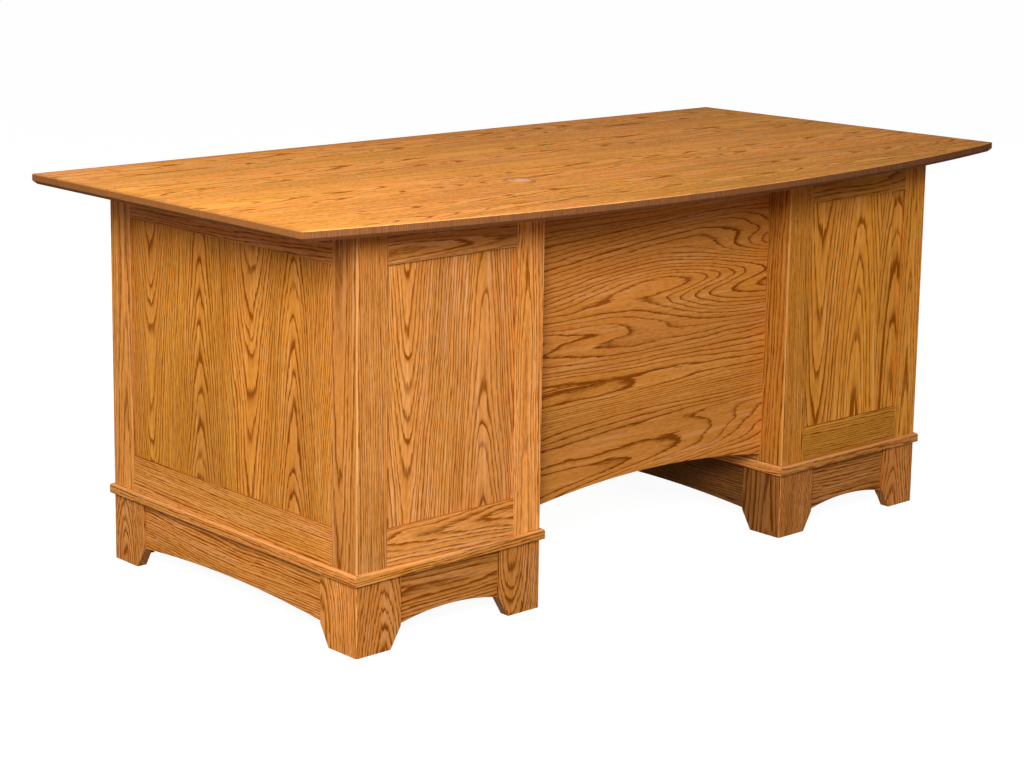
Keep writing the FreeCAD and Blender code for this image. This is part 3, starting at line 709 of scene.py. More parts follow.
class Recipe:
    """Node tree of a material or world, with short calls for the nodes that it is mixed from."""

    def __init__(self, owner):
        owner.use_nodes = True
        self.owner = owner
        self.tree = owner.node_tree

    def put(self, socket, value):
        """Link a socket to another one, or set it to a value."""
        if isinstance(value, bpy.types.NodeSocket):
            self.tree.links.new(value, socket)
        else:
            socket.default_value = value

    def node(self, kind, *values, **settings):
        """New node with its settings, and with values put into its first sockets."""
        made = self.tree.nodes.new("ShaderNode" + kind)
        for key, value in settings.items():
            setattr(made, key, value)
        for socket, value in zip(made.inputs, values):
            self.put(socket, value)
        return made

    def calc(self, operation, *values):
        """Result of a calculation on numbers."""
        return self.node("Math", *values, operation=operation).outputs[0]

    def limit(self, value):
        """Number kept between 0 and 1."""
        return self.calc("MAXIMUM", self.calc("MINIMUM", value, 1.0), 0.0)

    def vary(self, value, noise, reach):
        """Number plus noise that runs about zero, times its reach."""
        return self.calc("ADD", value, self.calc("MULTIPLY", self.calc("SUBTRACT", noise, 0.5), reach))

    def stretch(self, vector, factors):
        """Vector with each of its values multiplied."""
        return self.node("VectorMath", vector, factors, operation="MULTIPLY").outputs[0]

    def noise(self, vector, across, along, detail=2.0, behind=None):
        """Noise between 0 and 1 on a vector that is stretched across, along and behind the grain."""
        made = self.node("TexNoise", noise_dimensions="3D")
        self.put(made.inputs["Vector"], self.stretch(vector, (across, along, behind or across)))
        made.inputs["Scale"].default_value = 1.0
        made.inputs["Detail"].default_value = detail
        return made.outputs["Fac"]

    def ramp(self, value, stops, interpolation="LINEAR"):
        """Grey or colour read off a curve of (place, grey or colour) stops."""
        made = self.node("ValToRGB", value)
        made.color_ramp.interpolation = interpolation
        elements = made.color_ramp.elements
        while len(elements) < len(stops):
            elements.new(0.5)
        for element, (place, colour) in zip(elements, stops):
            element.position = place
            element.color = (*np.broadcast_to(colour, 3).tolist(), 1)
        return made.outputs["Color"]

    def mix(self, factor, first, second, blend="MIX"):
        """Mixture of two colours."""
        made = self.node("Mix", factor, data_type="RGBA", blend_type=blend, clamp_factor=True)
        # The node has sockets for numbers and vectors before those for colours
        for socket, colour in zip(made.inputs[6:8], (first, second)):
            self.put(socket, colour if isinstance(colour, bpy.types.NodeSocket) else (*colour, 1))
        return made.outputs[2]

    def lit(self, colour, light):
        """Colour multiplied by a number."""
        return self.mix(1.0, colour, self.join(light, light, light), "MULTIPLY")

    def split(self, vector):
        """The three values of a vector."""
        return self.node("SeparateXYZ", vector).outputs[:]

    def join(self, *values):
        """Vector of three values."""
        return self.node("CombineXYZ", *values).outputs[0]

    def attribute(self, name, kind="Fac"):
        """Named attribute of the mesh."""
        return self.node("Attribute", attribute_name=name).outputs[kind]

    def place(self):
        """Object coordinates."""
        return self.node("TexCoord").outputs["Object"]

    def seen(self):
        """1 for rays from the camera, a mirror or glass, and 0 for light that is scattered."""
        path = self.node("LightPath").outputs
        direct = self.calc("MAXIMUM", path["Is Camera Ray"], path["Is Glossy Ray"])
        return self.calc("MAXIMUM", direct, path["Is Transmission Ray"])

    def finish(self, colour, rough, relief, distance, strength, **constants):
        """Link colour, roughness and relief, set what is the same all over, and give the material."""
        surface = self.tree.nodes["Principled BSDF"].inputs
        bump = self.node("Bump")
        bump.inputs["Strength"].default_value = strength
        bump.inputs["Distance"].default_value = distance
        self.put(bump.inputs["Height"], relief)
        self.put(surface["Normal"], bump.outputs["Normal"])
        self.put(surface["Base Color"], colour)
        self.put(surface["Roughness"], rough)
        for key, value in constants.items():
            surface[key.replace("_", " ")].default_value = value
        return self.owner


def new_recipe(name):
    """Recipe of a new material."""
    return Recipe(bpy.data.materials.new(name))


def board_grain(recipe):
    """Grain and tone that a board's mesh holds."""
    return recipe.attribute("grain", "Vector"), recipe.attribute("tone")


def top_grain(recipe):
    """Grain of the top: planks side by side along the desk, each with its own heart and tone.

    The planks are darker close to the top's back and ends, and carry painted light that falls off from the
    left end to the right.
    """
    (_, x_high), (y_low, y_high), (_, z_high) = spans("desk_top")
    calc = recipe.calc
    x, y, z = recipe.split(recipe.place())
    depth = y_high - y_low
    placed = calc("DIVIDE", calc("SUBTRACT", y, y_low), depth)
    heart, behind, tone = recipe.split(recipe.ramp(placed, TOP_PLANKS, "CONSTANT"))
    across = calc("MULTIPLY", calc("SUBTRACT", placed, heart), depth)
    along = calc("MULTIPLY_ADD", heart, PLANK_SHIFT, x)
    under = calc("ADD", calc("SUBTRACT", z_high, z), calc("MULTIPLY_ADD", behind, *HEART_DEPTHS))
    inward = calc("MINIMUM", calc("SUBTRACT", x_high, calc("ABSOLUTE", x)), calc("SUBTRACT", y_high, y))
    rim_darkening = recipe.ramp(inward, RIM_DARKENING_CURVE)
    # Painted light: the top is brightened, less so towards its right end
    tone_and_painted_light = calc("SUBTRACT", recipe.vary(TOP_TONE_AND_PAINTED_LIGHT, tone, PLANK_REACH), rim_darkening)
    tone_and_painted_light = calc("MULTIPLY_ADD", x, TOP_PAINTED_FALLOFF, tone_and_painted_light)
    return recipe.stretch(recipe.join(across, along, under), (PLANK_CLOSENESS,) * 3), tone_and_painted_light


def oak(name, finishes, grain=board_grain, bend=0.03, run=2.4, breadth=7.0, taper=0.08, wobble=0.006,
        depth=1.0, fray=0.5, fine=1.0, rings=1.0, speck=0.8, hue="golden", specular=0.05):
    """Stained oak cut from a tree.

    A point's distance from the tree's heart, plus a taper along it and slow and quick noise, is counted in
    rings. Each ring starts with a dark line of open pores that fades into lighter late wood, and fibres
    fray the lines. BEND is the reach of the slow noise, BREADTH and RUN are its stretch across and along the
    grain, and WOBBLE is the reach of the quick noise. DEPTH darkens the lines, FINE narrows them and RINGS
    brings them closer.
    """
    recipe = new_recipe(name)
    calc, mix, ramp, vary = recipe.calc, recipe.mix, recipe.ramp, recipe.vary
    vector, tone = grain(recipe)
    noise = {key: recipe.noise(vector, *row) for key, row in OAK_NOISES.items()}
    across, along, behind = recipe.split(vector)

    far = calc("SQRT", calc("MULTIPLY_ADD", across, across, calc("MULTIPLY", behind, behind)))
    far = calc("MULTIPLY_ADD", along, taper, far)
    far = vary(far, recipe.noise(vector, breadth, run, 1.0), bend)
    far = vary(far, noise["quick"], wobble)
    uneven = recipe.node("TexNoise", noise_dimensions="1D")
    recipe.put(uneven.inputs["W"], calc("MULTIPLY", far, RING_DRIFT))
    count = vary(calc("DIVIDE", far, finishes.ring_spacing / rings), uneven.outputs["Fac"], RING_SPREAD)
    count = vary(count, noise["fibre"], fray)
    chance = recipe.node("TexWhiteNoise", noise_dimensions="1D")
    recipe.put(chance.inputs["W"], calc("FLOOR", count))
    within = calc("MULTIPLY", calc("FRACT", count), fine)
    early = ramp(calc("MINIMUM", within, LATE_WOOD if fine > 1 else 1.0), RING_DARKNESS)

    vein = calc("MULTIPLY", early, calc("MULTIPLY_ADD", chance.outputs["Value"], 0.5, 0.5))
    pores = ramp(noise["pores"], PORE_CURVE)
    pores = calc("MULTIPLY", pores, calc("MULTIPLY_ADD", early, 0.6, 0.4))
    dark = calc("MULTIPLY_ADD", vein, VEIN_WEIGHT * depth, calc("MULTIPLY", pores, PORE_WEIGHT * depth))
    dark = vary(dark, noise["fibre"], FIBRE_WEIGHT)
    dark = vary(dark, noise["speck"], speck)
    dark = vary(dark, noise["streak"], STREAK_WEIGHT)
    dark = recipe.limit(calc("ADD", dark, BASE_DARKNESS))

    pale = mix(ramp(noise["streak"], STREAK_CURVE), finishes.oak_light, finishes.oak_edge)
    colour = mix(dark, pale, finishes.oak_dark)
    # The tone holds board tones, painted shade on frames' recess edges, and on the top painted light
    colour = recipe.lit(colour, vary(calc("ADD", tone, 1.0), noise["cloud"], CLOUD_REACH))
    colour = mix(1.0, colour, ramp(noise["hue"], tuple(zip(HUE_PLACES, HUES[hue]))), "MULTIPLY")
    # Edges are mixed towards the pale colour: wear and a painted highlight
    colour = mix(calc("MULTIPLY", recipe.attribute("arris"), WEAR_AND_HIGHLIGHT_SHARE), colour, finishes.oak_edge)
    end = ramp(recipe.noise(recipe.place(), *END_NOISE), END_CURVE)
    end = mix(end, finishes.oak_end, finishes.oak_light)
    # The end colour takes the tone, which holds the painted shade on the top's bevel at its ends
    end = recipe.lit(end, calc("ADD", recipe.attribute("tone"), 1.0))
    colour = mix(recipe.attribute("cut"), colour, end)
    rough = calc("MULTIPLY_ADD", dark, PORE_ROUGHNESS, finishes.lacquer)
    relief = calc("SUBTRACT", 1.0, calc("MULTIPLY_ADD", vein, 0.5, pores))
    return recipe.finish(colour, rough, relief, distance=0.00025, strength=0.35, Specular_IOR_Level=specular)


def face_oaks(name, finishes, hues, **cut):
    """The same oak in several hues."""
    return {hue: oak(name + "_" + hue, finishes, hue=hue, **cut) for hue in hues}


def plain_wood(name, light, dark, planed=False, roughness=0.55):
    """Pale even wood: soft lines along the grain and small flecks. Planed wood runs from front to back."""
    recipe = new_recipe(name)
    calc = recipe.calc
    vector = recipe.place() if planed else recipe.attribute("grain", "Vector")
    shade = recipe.vary(0.35, recipe.noise(vector, 160.0, 3.5, 3.0), 1.3)
    shade = recipe.vary(shade, recipe.noise(vector, 9.0, 1.4), 0.9)
    fleck = recipe.ramp(recipe.noise(vector, 600.0, 40.0, 1.0), ((0.6, 0.0), (0.75, 1.0)))
    shade = recipe.limit(calc("MULTIPLY_ADD", fleck, 0.2, shade))
    colour = recipe.mix(shade, light, dark)
    rough = calc("MULTIPLY_ADD", shade, 0.15, roughness)
    relief = calc("SUBTRACT", 1.0, shade)
    return recipe.finish(colour, rough, relief, distance=0.0002, strength=0.25, Specular_IOR_Level=0.3)


def darkened_bronze(finishes):
    """Dark patina with bronze rubbed bare along the middle of each pull."""
    recipe = new_recipe("pull_bronze")
    calc = recipe.calc
    place = recipe.place()
    mottle = recipe.noise(place, 260.0, 260.0, 4.0)
    rubbed = recipe.ramp(recipe.noise(place, 35.0, 35.0), ((0.3, 0.2), (0.7, 1.0)))
    bare = calc("MULTIPLY", calc("MULTIPLY", recipe.attribute("arris"), rubbed), 0.75)
    bare = recipe.limit(recipe.vary(bare, mottle, 0.25))
    colour = recipe.mix(bare, finishes.bronze, finishes.bronze_rubbed)
    rough = calc("MULTIPLY_ADD", mottle, 0.22, 0.28)
    return recipe.finish(colour, rough, mottle, distance=0.0001, strength=0.2, Metallic=0.9)


def plated_steel(finishes):
    """Zinc plate with fine drawing lines along the slides and faint crystals."""
    recipe = new_recipe("slide_steel")
    place = recipe.place()
    lines = recipe.noise(place, 900.0, 12.0)
    crystal = recipe.noise(place, 90.0, 60.0, 3.0)
    shade = recipe.vary(recipe.vary(0.4, lines, 0.5), crystal, 0.5)
    dull = [0.55 * value for value in finishes.steel]
    colour = recipe.mix(shade, finishes.steel, dull)
    rough = recipe.calc("MULTIPLY_ADD", crystal, 0.25, 0.25)
    return recipe.finish(colour, rough, lines, distance=0.00005, strength=0.2, Metallic=1.0)


def moulded_plastic(name, colour, specular):
    """Brown plastic with a fine spark-eroded texture."""
    recipe = new_recipe(name)
    place = recipe.place()
    texture = recipe.noise(place, 1600.0, 1600.0)
    dull = [0.72 * value for value in colour]
    clouded = recipe.mix(recipe.noise(place, 40.0, 40.0), colour, dull)
    rough = recipe.calc("MULTIPLY_ADD", texture, 0.2, 0.3)
    return recipe.finish(clouded, rough, texture, distance=0.00008, strength=0.3, Specular_IOR_Level=specular)


# Operators, one for each group of like pieces


class DeskOperator:
    """What the desk's operators share."""

    bl_options = {"REGISTER"}

    def settings(self, context):
        """Sizes, finishes and a seeded source of chance."""
        scene = context.scene
        finishes = scene.desk_finishes
        return scene.desk_joinery, finishes, np.random.default_rng(finishes.grain_seed)


class DESK_OT_top(DeskOperator, bpy.types.Operator):
    """Make the bowed top"""

    bl_idname = "desk.top"
    bl_label = "Top"

    def execute(self, context):
        joinery, finishes, _ = self.settings(context)
        x, y, (z_low, z_high) = spans("desk_top")
        half = (x[1] - x[0]) / 2
        ease = joinery.top_ease
        chamfer = joinery.top_chamfer
        slant = 1 - math.sqrt(0.5)

        def outline(inset):
            """Outline of the top, drawn in by INSET."""
            return bowed_outline(inset, half, y, joinery.top_bow)

        hole = np.array([sum(spans("grommet_cap")[0]) / 2, sum(spans("grommet_liner")[1]) / 2])
        ray = outline(0) - hole
        circle = hole + joinery.top_hole * ray / np.linalg.norm(ray, axis=-1, keepdims=True)
        # Outline and height of each level, how pale its edge is (wear and a painted highlight), how much end
        # colour it takes, and how much darker it is at the ends, with painted shade on the bevel
        levels = [
            (circle, z_high, 0, 0, 0),
            (outline(ease), z_high, 0, 0, 0),
            (outline(0.8 * ease), z_high - 0.03 * ease, 1, 0, 0),
            (outline(ease * slant), z_high - ease * slant, 1, 0, 0),
            (outline(0), z_high - ease, 1, 0, 0),
            (outline(0), z_high - 1.2 * ease, 0, 1, END_EDGE_DARKENING),
            (outline(0), z_low + chamfer, 0, 1, END_EDGE_DARKENING),
            (outline(0.05 * chamfer), z_low + 0.95 * chamfer, 0, 1, PAINTED_BEVEL_SHADE),
            (outline(chamfer), z_low, 0, 1, PAINTED_BEVEL_SHADE),
            (outline(chamfer + ease), z_low, 0, 0, 0),
            (circle, z_low, 0, 0, 0),
        ]
        grid = np.stack([np.column_stack([plan, np.full(len(plan), z)]) for plan, z, *_ in levels])
        marks = np.array([row[2:] for row in levels], float).T
        arris, cut, shade = np.repeat(marks, grid.shape[1], axis=1)
        part = closed(grid, 0.0, capped=False)
        at_end = np.abs(part["points"][:, 0]) > half - 1.2 * (chamfer + ease)
        # At the ends the upright edge is darkened and the bevel gets painted shade
        part["tone"] = np.where(at_end, shade, 0.0)
        part["cut"] = np.where(at_end, END_CUT * cut + END_ROUNDING_CUT * arris, cut)
        part["arris"] = arris * np.where(at_end, END_WEAR_AND_HIGHLIGHT, 1.0)
        material = oak("oak_top", finishes, grain=top_grain, run=1.2, taper=0.025, depth=0.88, speck=1.2,
                       hue="top", specular=0.002)
        piece("desk_top", "planks", [part], material, smooth_below=20)
        return {"FINISHED"}


class DESK_OT_grommet(DeskOperator, bpy.types.Operator):
    """Make the cable grommet and finish its cap"""

    bl_idname = "desk.grommet"
    bl_label = "Grommet"

    def execute(self, context):
        joinery, finishes, _ = self.settings(context)
        x, y, (low, high) = spans("grommet_liner")
        ledge_high = spans("grommet_cap")[2][0]
        ledge_low = ledge_high - joinery.grommet_ledge
        top = spans("desk_top")[2][1]
        flange = (x[1] - x[0]) / 2
        outer = joinery.top_hole - joinery.grommet_room
        bore = outer - joinery.grommet_wall
        ledge = bore - joinery.grommet_wall
        outline = [
            (outer, low), (outer, top), (flange, top), (flange, high), (bore, high),
            (bore, ledge_high), (ledge, ledge_high), (ledge, ledge_low), (bore, ledge_low), (bore, low),
        ]
        # Rounding of each corner of the outline, in metres
        rounding = (0.0003, 0, 0.0002, 0.0012, 0.0005, 0, 0.0003, 0.0003, 0, 0.0003)
        liner = revolve(rounded(outline, rounding, steps=4), (sum(x) / 2, sum(y) / 2))
        plastic = moulded_plastic("grommet_plastic", finishes.grommet, specular=0.01)
        piece("grommet_liner", "moulded", [liner], plastic)
        # The cap's paler colour is a painted highlight on the grommet
        highlit_cap = moulded_plastic("grommet_cap_plastic", finishes.grommet_cap, specular=0.12)
        finish_nodes(["grommet_cap"], highlit_cap)
        return {"FINISHED"}


class DESK_OT_frames(DeskOperator, bpy.types.Operator):
    """Make the stiles and rails of the pedestals' outer, visitor and knee sides"""

    bl_idname = "desk.frames"
    bl_label = "Pedestal frames"

    def execute(self, context):
        joinery, finishes, rng = self.settings(context)
        tongue = joinery.panel_tongue
        materials = face_oaks("oak_frame", finishes, ("golden", "olive", "warm"), bend=0.014, taper=0.02,
                              depth=0.85, fray=0.8)
        for name, face in framed_faces():
            node = name + "_frame"
            outside = spans(node)
            inside = spans(name + "_panel")
            run = 0 if face.along[0] else 1
            stile = inside[run][0] + tongue - outside[run][0]
            rail = inside[2][0] + tongue - outside[2][0]
            thickness = outside[1 - run][1] - outside[1 - run][0]
            z = outside[2]
            rails = [(z[0], z[0] + rail), (z[1] - rail, z[1])]
            boards = frame_boards(face, z, thickness, stile, rails, joinery, rng, FRAME_TONES.get(node),
                                  FIGURED_BOARDS.get(node, ()))
            piece(node, "boards", boards, materials[FACE_HUES.get(node, OTHER_HUE)])
        return {"FINISHED"}


class DESK_OT_panels(DeskOperator, bpy.types.Operator):
    """Make the glued-up panels in the pedestals' frames"""

    bl_idname = "desk.panels"
    bl_label = "Pedestal panels"

    def execute(self, context):
        joinery, finishes, rng = self.settings(context)
        materials = face_oaks("oak_panel", finishes, ("olive", "warm"), depth=0.9)
        for name, face in framed_faces():
            node = name + "_panel"
            box = np.array(spans(node)).T
            local = box[:, :2] - np.array(face.corner)
            x, y = (sorted((local @ np.array(way)).tolist()) for way in (face.along, face.inward))
            boards = glued_panel(x, y, tuple(box[:, 2]), joinery.panel_board, rng, PANEL_BOARDS.get(node))
            hue = FACE_HUES.get(node, OTHER_HUE)
            piece(node, "boards", on_face(boards, face), materials[hue])
        return {"FINISHED"}


class DESK_OT_face_frames(DeskOperator, bpy.types.Operator):
    """Make the frames round the drawers of the pedestals"""

    bl_idname = "desk.face_frames"
    bl_label = "Drawer frames"

    def execute(self, context):
        joinery, finishes, rng = self.settings(context)
        material = oak("oak_face_frame", finishes, bend=0.014, taper=0.02, depth=0.85, fray=0.8)
        reveal = joinery.drawer_reveal
        for side in SIDES:
            node = side + "_face_frame"
            x, y, z = spans(node)
            fronts = [spans(side + level + "_drawer_front") for level in ("_upper", "_middle", "_file")]
            stile = fronts[0][0][0] - reveal - x[0]
            edges = [z[1]]
            for front in fronts:
                edges += [front[2][1] + reveal, front[2][0] - reveal]
            edges.append(z[0])
            rails = list(zip(edges[1::2], edges[0::2]))
            face = pedestal_faces(side)["user"]
            boards = frame_boards(face, z, y[1] - y[0], stile, rails, joinery, rng)
            piece(node, "boards", boards, material)
        return {"FINISHED"}


class DESK_OT_bands(DeskOperator, bpy.types.Operator):
    """Make the mitred bands under the pedestals"""

    bl_idname = "desk.bands"
    bl_label = "Bands"

    def execute(self, context):
        joinery, finishes, rng = self.settings(context)
        z = spans("base_bands")[2]
        reach = spans("left_outer_frame")[0][0] - spans("base_bands")[0][0]
        corners = oblong((-reach, joinery.band_width - reach), z)
        steps = 6
        points, arris = rounded(corners, (0.0008, 0.0003, 0.0003, joinery.band_round), steps)
        # Only the last corner, the upper outer one, shows its rounding, painted fully pale with wear and a
        # painted highlight
        showing = np.arange(len(arris)) >= 3 * (steps + 1)
        outline = (points, np.where(showing, arris, BOARD_WEAR_AND_HIGHLIGHT * arris))
        boards = []
        for _, _, face in all_faces():
            part = sweep(outline, (0, face.width), "x", slope=(1, -1))
            grained(part, LENGTHWISE, rift_sawn(rng, z[1] - z[0]), tone_of(rng) + BAND_TONE)
            boards += on_face([part], face)
        material = oak("oak_band", finishes, bend=0.012, taper=0.012, fray=0.8, speck=1.2)
        piece("base_bands", "boards", boards, material)
        return {"FINISHED"}


class DESK_OT_feet(DeskOperator, bpy.types.Operator):
    """Make the mitred bracket feet"""

    bl_idname = "desk.feet"
    bl_label = "Bracket feet"

    def execute(self, context):
        joinery, finishes, rng = self.settings(context)
        low, high = spans("bracket_feet")[2]
        width = joinery.foot_width
        ease = joinery.corner_ease
        bevel = width - joinery.foot_run
        depth = np.array([0.0, 0.1 * ease, 0.5 * ease, joinery.foot_board])
        start = np.array([ease, 0.9 * ease, 0.5 * ease, joinery.foot_board])
        corners = np.empty((4, 5, 2))
        corners[:] = [(0, low), (bevel, low), (width, low + joinery.foot_rise), (width, high), (0, high)]
        corners[:, (0, 4), 0] = start[:, None]
        part = sweep(rounded(corners, joinery.arris), depth, "y")
        x, y, _ = part["points"].T
        part["arris"] = np.where((y > 0) & (x < ease), BASE_WEAR_AND_HIGHLIGHT, 0.0)
        # The bevel of each foot is darkened
        part["glaze"] = np.where((y > 0.4 * ease) & (x > bevel - joinery.arris), BEVEL_DARKENING, 0.0)
        boards = []
        for side, name, face in all_faces():
            for number, foot in enumerate((dict(part), mirrored(part, face.width))):
                key = (side, name, number)
                drawn = (plain_sawn if rng.random() < PLAIN_FEET else rift_sawn)(rng, width)
                tone = FOOT_TONES.get(key, tone_of(rng, 0.06) + FOOT_TONE)
                boards += on_face([grained(foot, UPRIGHT, FOOT_HEARTS.get(key, drawn), tone)], face)
        material = oak("oak_feet", finishes, bend=0.025, run=4.0, taper=0.1, depth=1.1, fray=0.8, hue="foot")
        piece("bracket_feet", "boards", boards, material)
        return {"FINISHED"}


class DESK_OT_aprons(DeskOperator, bpy.types.Operator):
    """Make the arched aprons between the feet"""

    bl_idname = "desk.aprons"
    bl_label = "Aprons"

    def execute(self, context):
        joinery, finishes, rng = self.settings(context)
        low = joinery.foot_rise
        high = spans("base_aprons")[2][1]
        y = (joinery.apron_setback, joinery.apron_setback + joinery.apron_board)
        boards = []
        for side, name, face in all_faces():
            x = (joinery.foot_width, face.width - joinery.foot_width)
            part = arched_board(x, y, low, joinery.apron_arch, high, joinery.arris)
            part["arris"] = part["arris"] * BASE_WEAR_AND_HIGHLIGHT
            tone = APRON_TONES.get((side, name), tone_of(rng, 0.05) + APRON_TONE)
            cut = plain_sawn if (side, name) in FIGURED_APRONS else rift_sawn
            boards += on_face([grained(part, LENGTHWISE, cut(rng, high - low), tone)], face)
        material = oak("oak_apron", finishes, taper=0.02, depth=1.1, fray=0.8)
        piece("base_aprons", "boards", boards, material)
        return {"FINISHED"}


class DESK_OT_modesty(DeskOperator, bpy.types.Operator):
    """Make the modesty panel"""

    bl_idname = "desk.modesty"
    bl_label = "Modesty panel"

    def execute(self, context):
        joinery, finishes, _ = self.settings(context)
        x, y, z = spans("modesty_panel")
        part = arched_board(x, y, z[0], joinery.modesty_arch, z[1], joinery.arris, sections=97)
        part["arris"] = part["arris"] * BOARD_WEAR_AND_HIGHLIGHT
        grained(part, LENGTHWISE, MODESTY_HEART, MODESTY_TONE)
        material = oak("oak_modesty", finishes, bend=0.13, run=0.9, breadth=7.5, taper=0.0, wobble=0.004,
                       fray=0.35, fine=1.6, rings=1.3, hue="russet")
        piece("modesty_panel", "board", [part], material)
        return {"FINISHED"}


class DESK_OT_drawer_fronts(DeskOperator, bpy.types.Operator):
    """Make the drawer fronts"""

    bl_idname = "desk.drawer_fronts"
    bl_label = "Drawer fronts"

    def execute(self, context):
        joinery, finishes, rng = self.settings(context)
        material = oak("oak_front", finishes, run=2.0, taper=0.05)
        steps = 4
        turn = np.linspace(0, math.pi / 2, steps + 1)
        step = joinery.front_round * (1 - np.cos(turn))
        grow = np.concatenate([np.sin(turn), np.sin(turn)[::-1]])
        radius = (joinery.front_arris, joinery.front_round, joinery.front_round, joinery.front_arris)
        for name in DRAWERS:
            node = name + "_drawer_front"
            x, y, z = spans(node)
            path = np.concatenate([x[0] + step, x[1] - step[::-1]])
            corners = np.broadcast_to(oblong(y, z), (len(path), 4, 2))
            points, arris = rounded(corners, radius, steps, grow)
            part = sweep((points, arris * FRONT_WEAR_AND_HIGHLIGHT), path, "x")
            offset = rng.uniform(-0.2, 0.2) * (z[1] - z[0])
            heart = (offset, rng.uniform(*DRAWER_SHIFTS), rng.uniform(0.06, 0.1), 1.0)
            grained(part, LENGTHWISE, heart, tone_of(rng, 0.05))
            piece(node, "board", [part], material, name + "_drawer")
        return {"FINISHED"}


class DESK_OT_drawer_boxes(DeskOperator, bpy.types.Operator):
    """Make the drawer boxes"""

    bl_idname = "desk.drawer_boxes"
    bl_label = "Drawer boxes"

    def execute(self, context):
        joinery, finishes, rng = self.settings(context)
        material = plain_wood("drawer_wood", finishes.drawer_light, finishes.drawer_dark)
        thick = joinery.drawer_board
        edge = joinery.drawer_round
        for name in DRAWERS:
            node = name + "_drawer_box"
            x, y, z = spans(node)
            inside = (x[0] + thick, x[1] - thick)
            deep = (y[0] + thick, y[1] - thick)
            floor = (z[0] + joinery.bottom_rise, z[0] + joinery.bottom_rise + joinery.drawer_bottom)
            layout = [
                ((x[0], inside[0]), y, z, edge, "y", DEPTHWISE),
                ((inside[1], x[1]), y, z, edge, "y", DEPTHWISE),
                (inside, (deep[1], y[1]), z, edge, "x", LENGTHWISE),
                (inside, (y[0], deep[0]), z, edge, "x", LENGTHWISE),
                (inside, deep, floor, 0.0, "x", FLAT),
            ]
            boards = []
            for *row, axes in layout:
                heart = (0, rng.uniform(*DRAWER_SHIFTS), 0.05, 1.0)
                boards.append(grained(board(*row), axes, heart, 0.0))
            piece(node, "boards", boards, material, name + "_drawer")
        return {"FINISHED"}


class DESK_OT_pulls(DeskOperator, bpy.types.Operator):
    """Make the bow pulls and the heads of their screws"""

    bl_idname = "desk.pulls"
    bl_label = "Pulls"

    def execute(self, context):
        joinery, finishes, _ = self.settings(context)
        bronze = darkened_bronze(finishes)
        for name in DRAWERS:
            node = name + "_drawer_pull"
            x, y, z = spans(node)
            base = spans(name + "_drawer_front")[1][1]
            middle = (sum(x) / 2, base, sum(z) / 2)
            half = (x[1] - x[0]) / 2
            reach = half - joinery.pull_foot / 2
            parts = [bow_pull(middle, half, y[1] - base, joinery)]
            parts += [screw_head((middle[0] + way * reach, y[0], middle[2])) for way in (-1, 1)]
            piece(node, "cast", parts, bronze, name + "_drawer")
        return {"FINISHED"}


class DESK_OT_inside(DeskOperator, bpy.types.Operator):
    """Finish the slides, screws, battens and floor boards of the construction model"""

    bl_idname = "desk.inside"
    bl_label = "Slides and inner boards"

    def execute(self, context):
        _, finishes, _ = self.settings(context)
        steel = [name + "_drawer_" + member for name in DRAWERS for member in ("runners", "links")]
        finish_nodes(["slide_rails", "top_screws"] + steel, plated_steel(finishes))
        wood = plain_wood("inner_wood", finishes.inner_light, finishes.inner_dark, planed=True,
                          roughness=0.65)
        finish_nodes(["battens", "floor_boards"], wood)
        return {"FINISHED"}


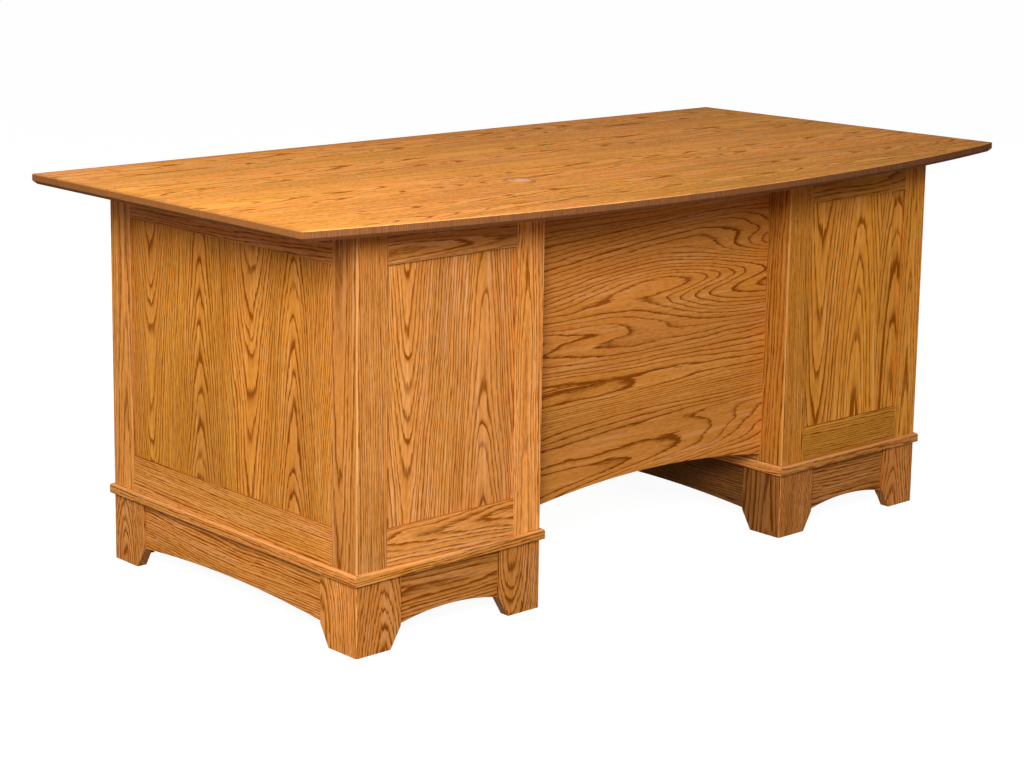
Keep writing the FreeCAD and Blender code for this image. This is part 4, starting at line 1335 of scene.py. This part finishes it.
class DESK_OT_stage(bpy.types.Operator):
    """Make the floor, the lamps, the background and the camera"""

    bl_idname = "desk.stage"
    bl_label = "Stage"

    def execute(self, context):
        studio = context.scene.desk_studio
        self.floor(studio)
        self.background(studio)
        for name, (place, target, size) in LAMPS.items():
            self.lamp(name, getattr(studio, name), place, target, size)
        self.camera(studio)
        context.scene.view_settings.view_transform = "Standard"
        return {"FINISHED"}

    def floor(self, studio):
        """Wide pale floor that keeps the desk's shadow."""
        recipe = new_recipe("stage_floor")
        recipe.tree.nodes.clear()
        matt = recipe.node("BsdfDiffuse", (*studio.floor, 1)).outputs[0]
        glow = recipe.node("Emission", WHITE, recipe.calc("MULTIPLY", recipe.seen(), studio.glow)).outputs[0]
        recipe.node("OutputMaterial", recipe.node("AddShader", matt, glow).outputs[0])
        mesh = bpy.data.meshes.new("stage_floor")
        bounds = (-FLOOR_REACH, FLOOR_REACH)
        mesh.from_pydata([(x, y, FLOOR_HEIGHT) for x, y in oblong(bounds, bounds)], [], [(0, 1, 2, 3)])
        mesh.materials.append(recipe.owner)
        made = bpy.data.objects.new("stage_floor", mesh)
        bpy.context.scene.collection.objects.link(made)

    def background(self, studio):
        """White to the camera and in reflections, and plain soft light otherwise."""
        recipe = Recipe(bpy.data.worlds.new("studio"))
        recipe.tree.nodes.clear()
        soft = recipe.node("Background", WHITE, studio.ambient).outputs[0]
        shown = recipe.node("Background", WHITE).outputs[0]
        recipe.node("OutputWorld", recipe.node("MixShader", recipe.seen(), soft, shown).outputs[0])
        bpy.context.scene.world = recipe.owner

    def stand(self, data, place, *axes):
        """Object at a place, turned to the directions of its right, its top and its back."""
        made = bpy.data.objects.new(data.name, data)
        bpy.context.scene.collection.objects.link(made)
        turn = Matrix(np.stack(axes, axis=1).tolist())
        made.matrix_world = Matrix.Translation(place) @ turn.to_4x4()
        return made

    def lamp(self, name, watts, place, target, size):
        """Soft square lamp that faces a point."""
        data = bpy.data.lights.new(name, "AREA")
        data.energy = watts
        data.shape = "SQUARE"
        data.size = size
        back = np.array(place) - np.array(target)
        back = back / np.linalg.norm(back)
        right = np.cross((0, 0, 1), back)
        right = right / np.linalg.norm(right)
        self.stand(data, place, right, np.cross(back, right), back)

    def camera(self, studio):
        """Camera at the angle of the photograph."""
        turned, tipped, rolled = (math.radians(angle) for angle in CAMERA_ANGLES)
        level = np.array([math.cos(turned), -math.sin(turned), 0.0])
        forward = np.array([math.sin(turned), math.cos(turned), 0.0])
        ahead = math.cos(tipped) * forward - math.sin(tipped) * np.array([0.0, 0.0, 1.0])
        upright = np.cross(level, ahead)
        right = math.cos(rolled) * level + math.sin(rolled) * upright
        up = math.cos(rolled) * upright - math.sin(rolled) * level
        data = bpy.data.cameras.new("camera")
        data.lens = studio.lens
        data.sensor_width = SENSOR_WIDTH
        data.shift_x, data.shift_y = CAMERA_SHIFT
        data.clip_end = CAMERA_REACH
        bpy.context.scene.camera = self.stand(data, CAMERA_PLACE, right, up, -ahead)


class DESK_PT_sidebar(bpy.types.Panel):
    """Sizes, finishes and makers of the desk"""

    bl_idname = "DESK_PT_sidebar"
    bl_label = "Oak desk"
    bl_space_type = "VIEW_3D"
    bl_region_type = "UI"
    bl_category = "Desk"

    def draw(self, context):
        for setting in SETTINGS:
            group = getattr(context.scene, setting)
            box = self.layout.box()
            for name in group.bl_rna.properties.keys():
                if name not in ("rna_type", "name"):
                    box.prop(group, name)
        for maker in MAKERS:
            self.layout.operator(maker.bl_idname)


SETTINGS = {"desk_joinery": DeskJoinery, "desk_finishes": DeskFinishes, "desk_studio": DeskStudio}
MAKERS = (
    DESK_OT_top, DESK_OT_grommet, DESK_OT_frames, DESK_OT_panels, DESK_OT_face_frames, DESK_OT_bands,
    DESK_OT_feet, DESK_OT_aprons, DESK_OT_modesty, DESK_OT_drawer_fronts, DESK_OT_drawer_boxes,
    DESK_OT_pulls, DESK_OT_inside, DESK_OT_stage,
)
CLASSES = (*SETTINGS.values(), *MAKERS, DESK_PT_sidebar)


def register():
    """Make the classes and their settings known."""
    for kind in CLASSES:
        bpy.utils.register_class(kind)
    for setting, kind in SETTINGS.items():
        setattr(bpy.types.Scene, setting, PointerProperty(type=kind))


def unregister():
    """Take the classes and their settings away."""
    for setting in SETTINGS:
        delattr(bpy.types.Scene, setting)
    for kind in reversed(CLASSES):
        bpy.utils.unregister_class(kind)


def main():
    """Make the whole desk."""
    register()
    bpy.ops.desk.top()
    bpy.ops.desk.grommet()
    bpy.ops.desk.frames()
    bpy.ops.desk.panels()
    bpy.ops.desk.face_frames()
    bpy.ops.desk.bands()
    bpy.ops.desk.feet()
    bpy.ops.desk.aprons()
    bpy.ops.desk.modesty()
    bpy.ops.desk.drawer_fronts()
    bpy.ops.desk.drawer_boxes()
    bpy.ops.desk.pulls()
    bpy.ops.desk.inside()
    bpy.ops.desk.stage()


if __name__ == "__main__":
    main()
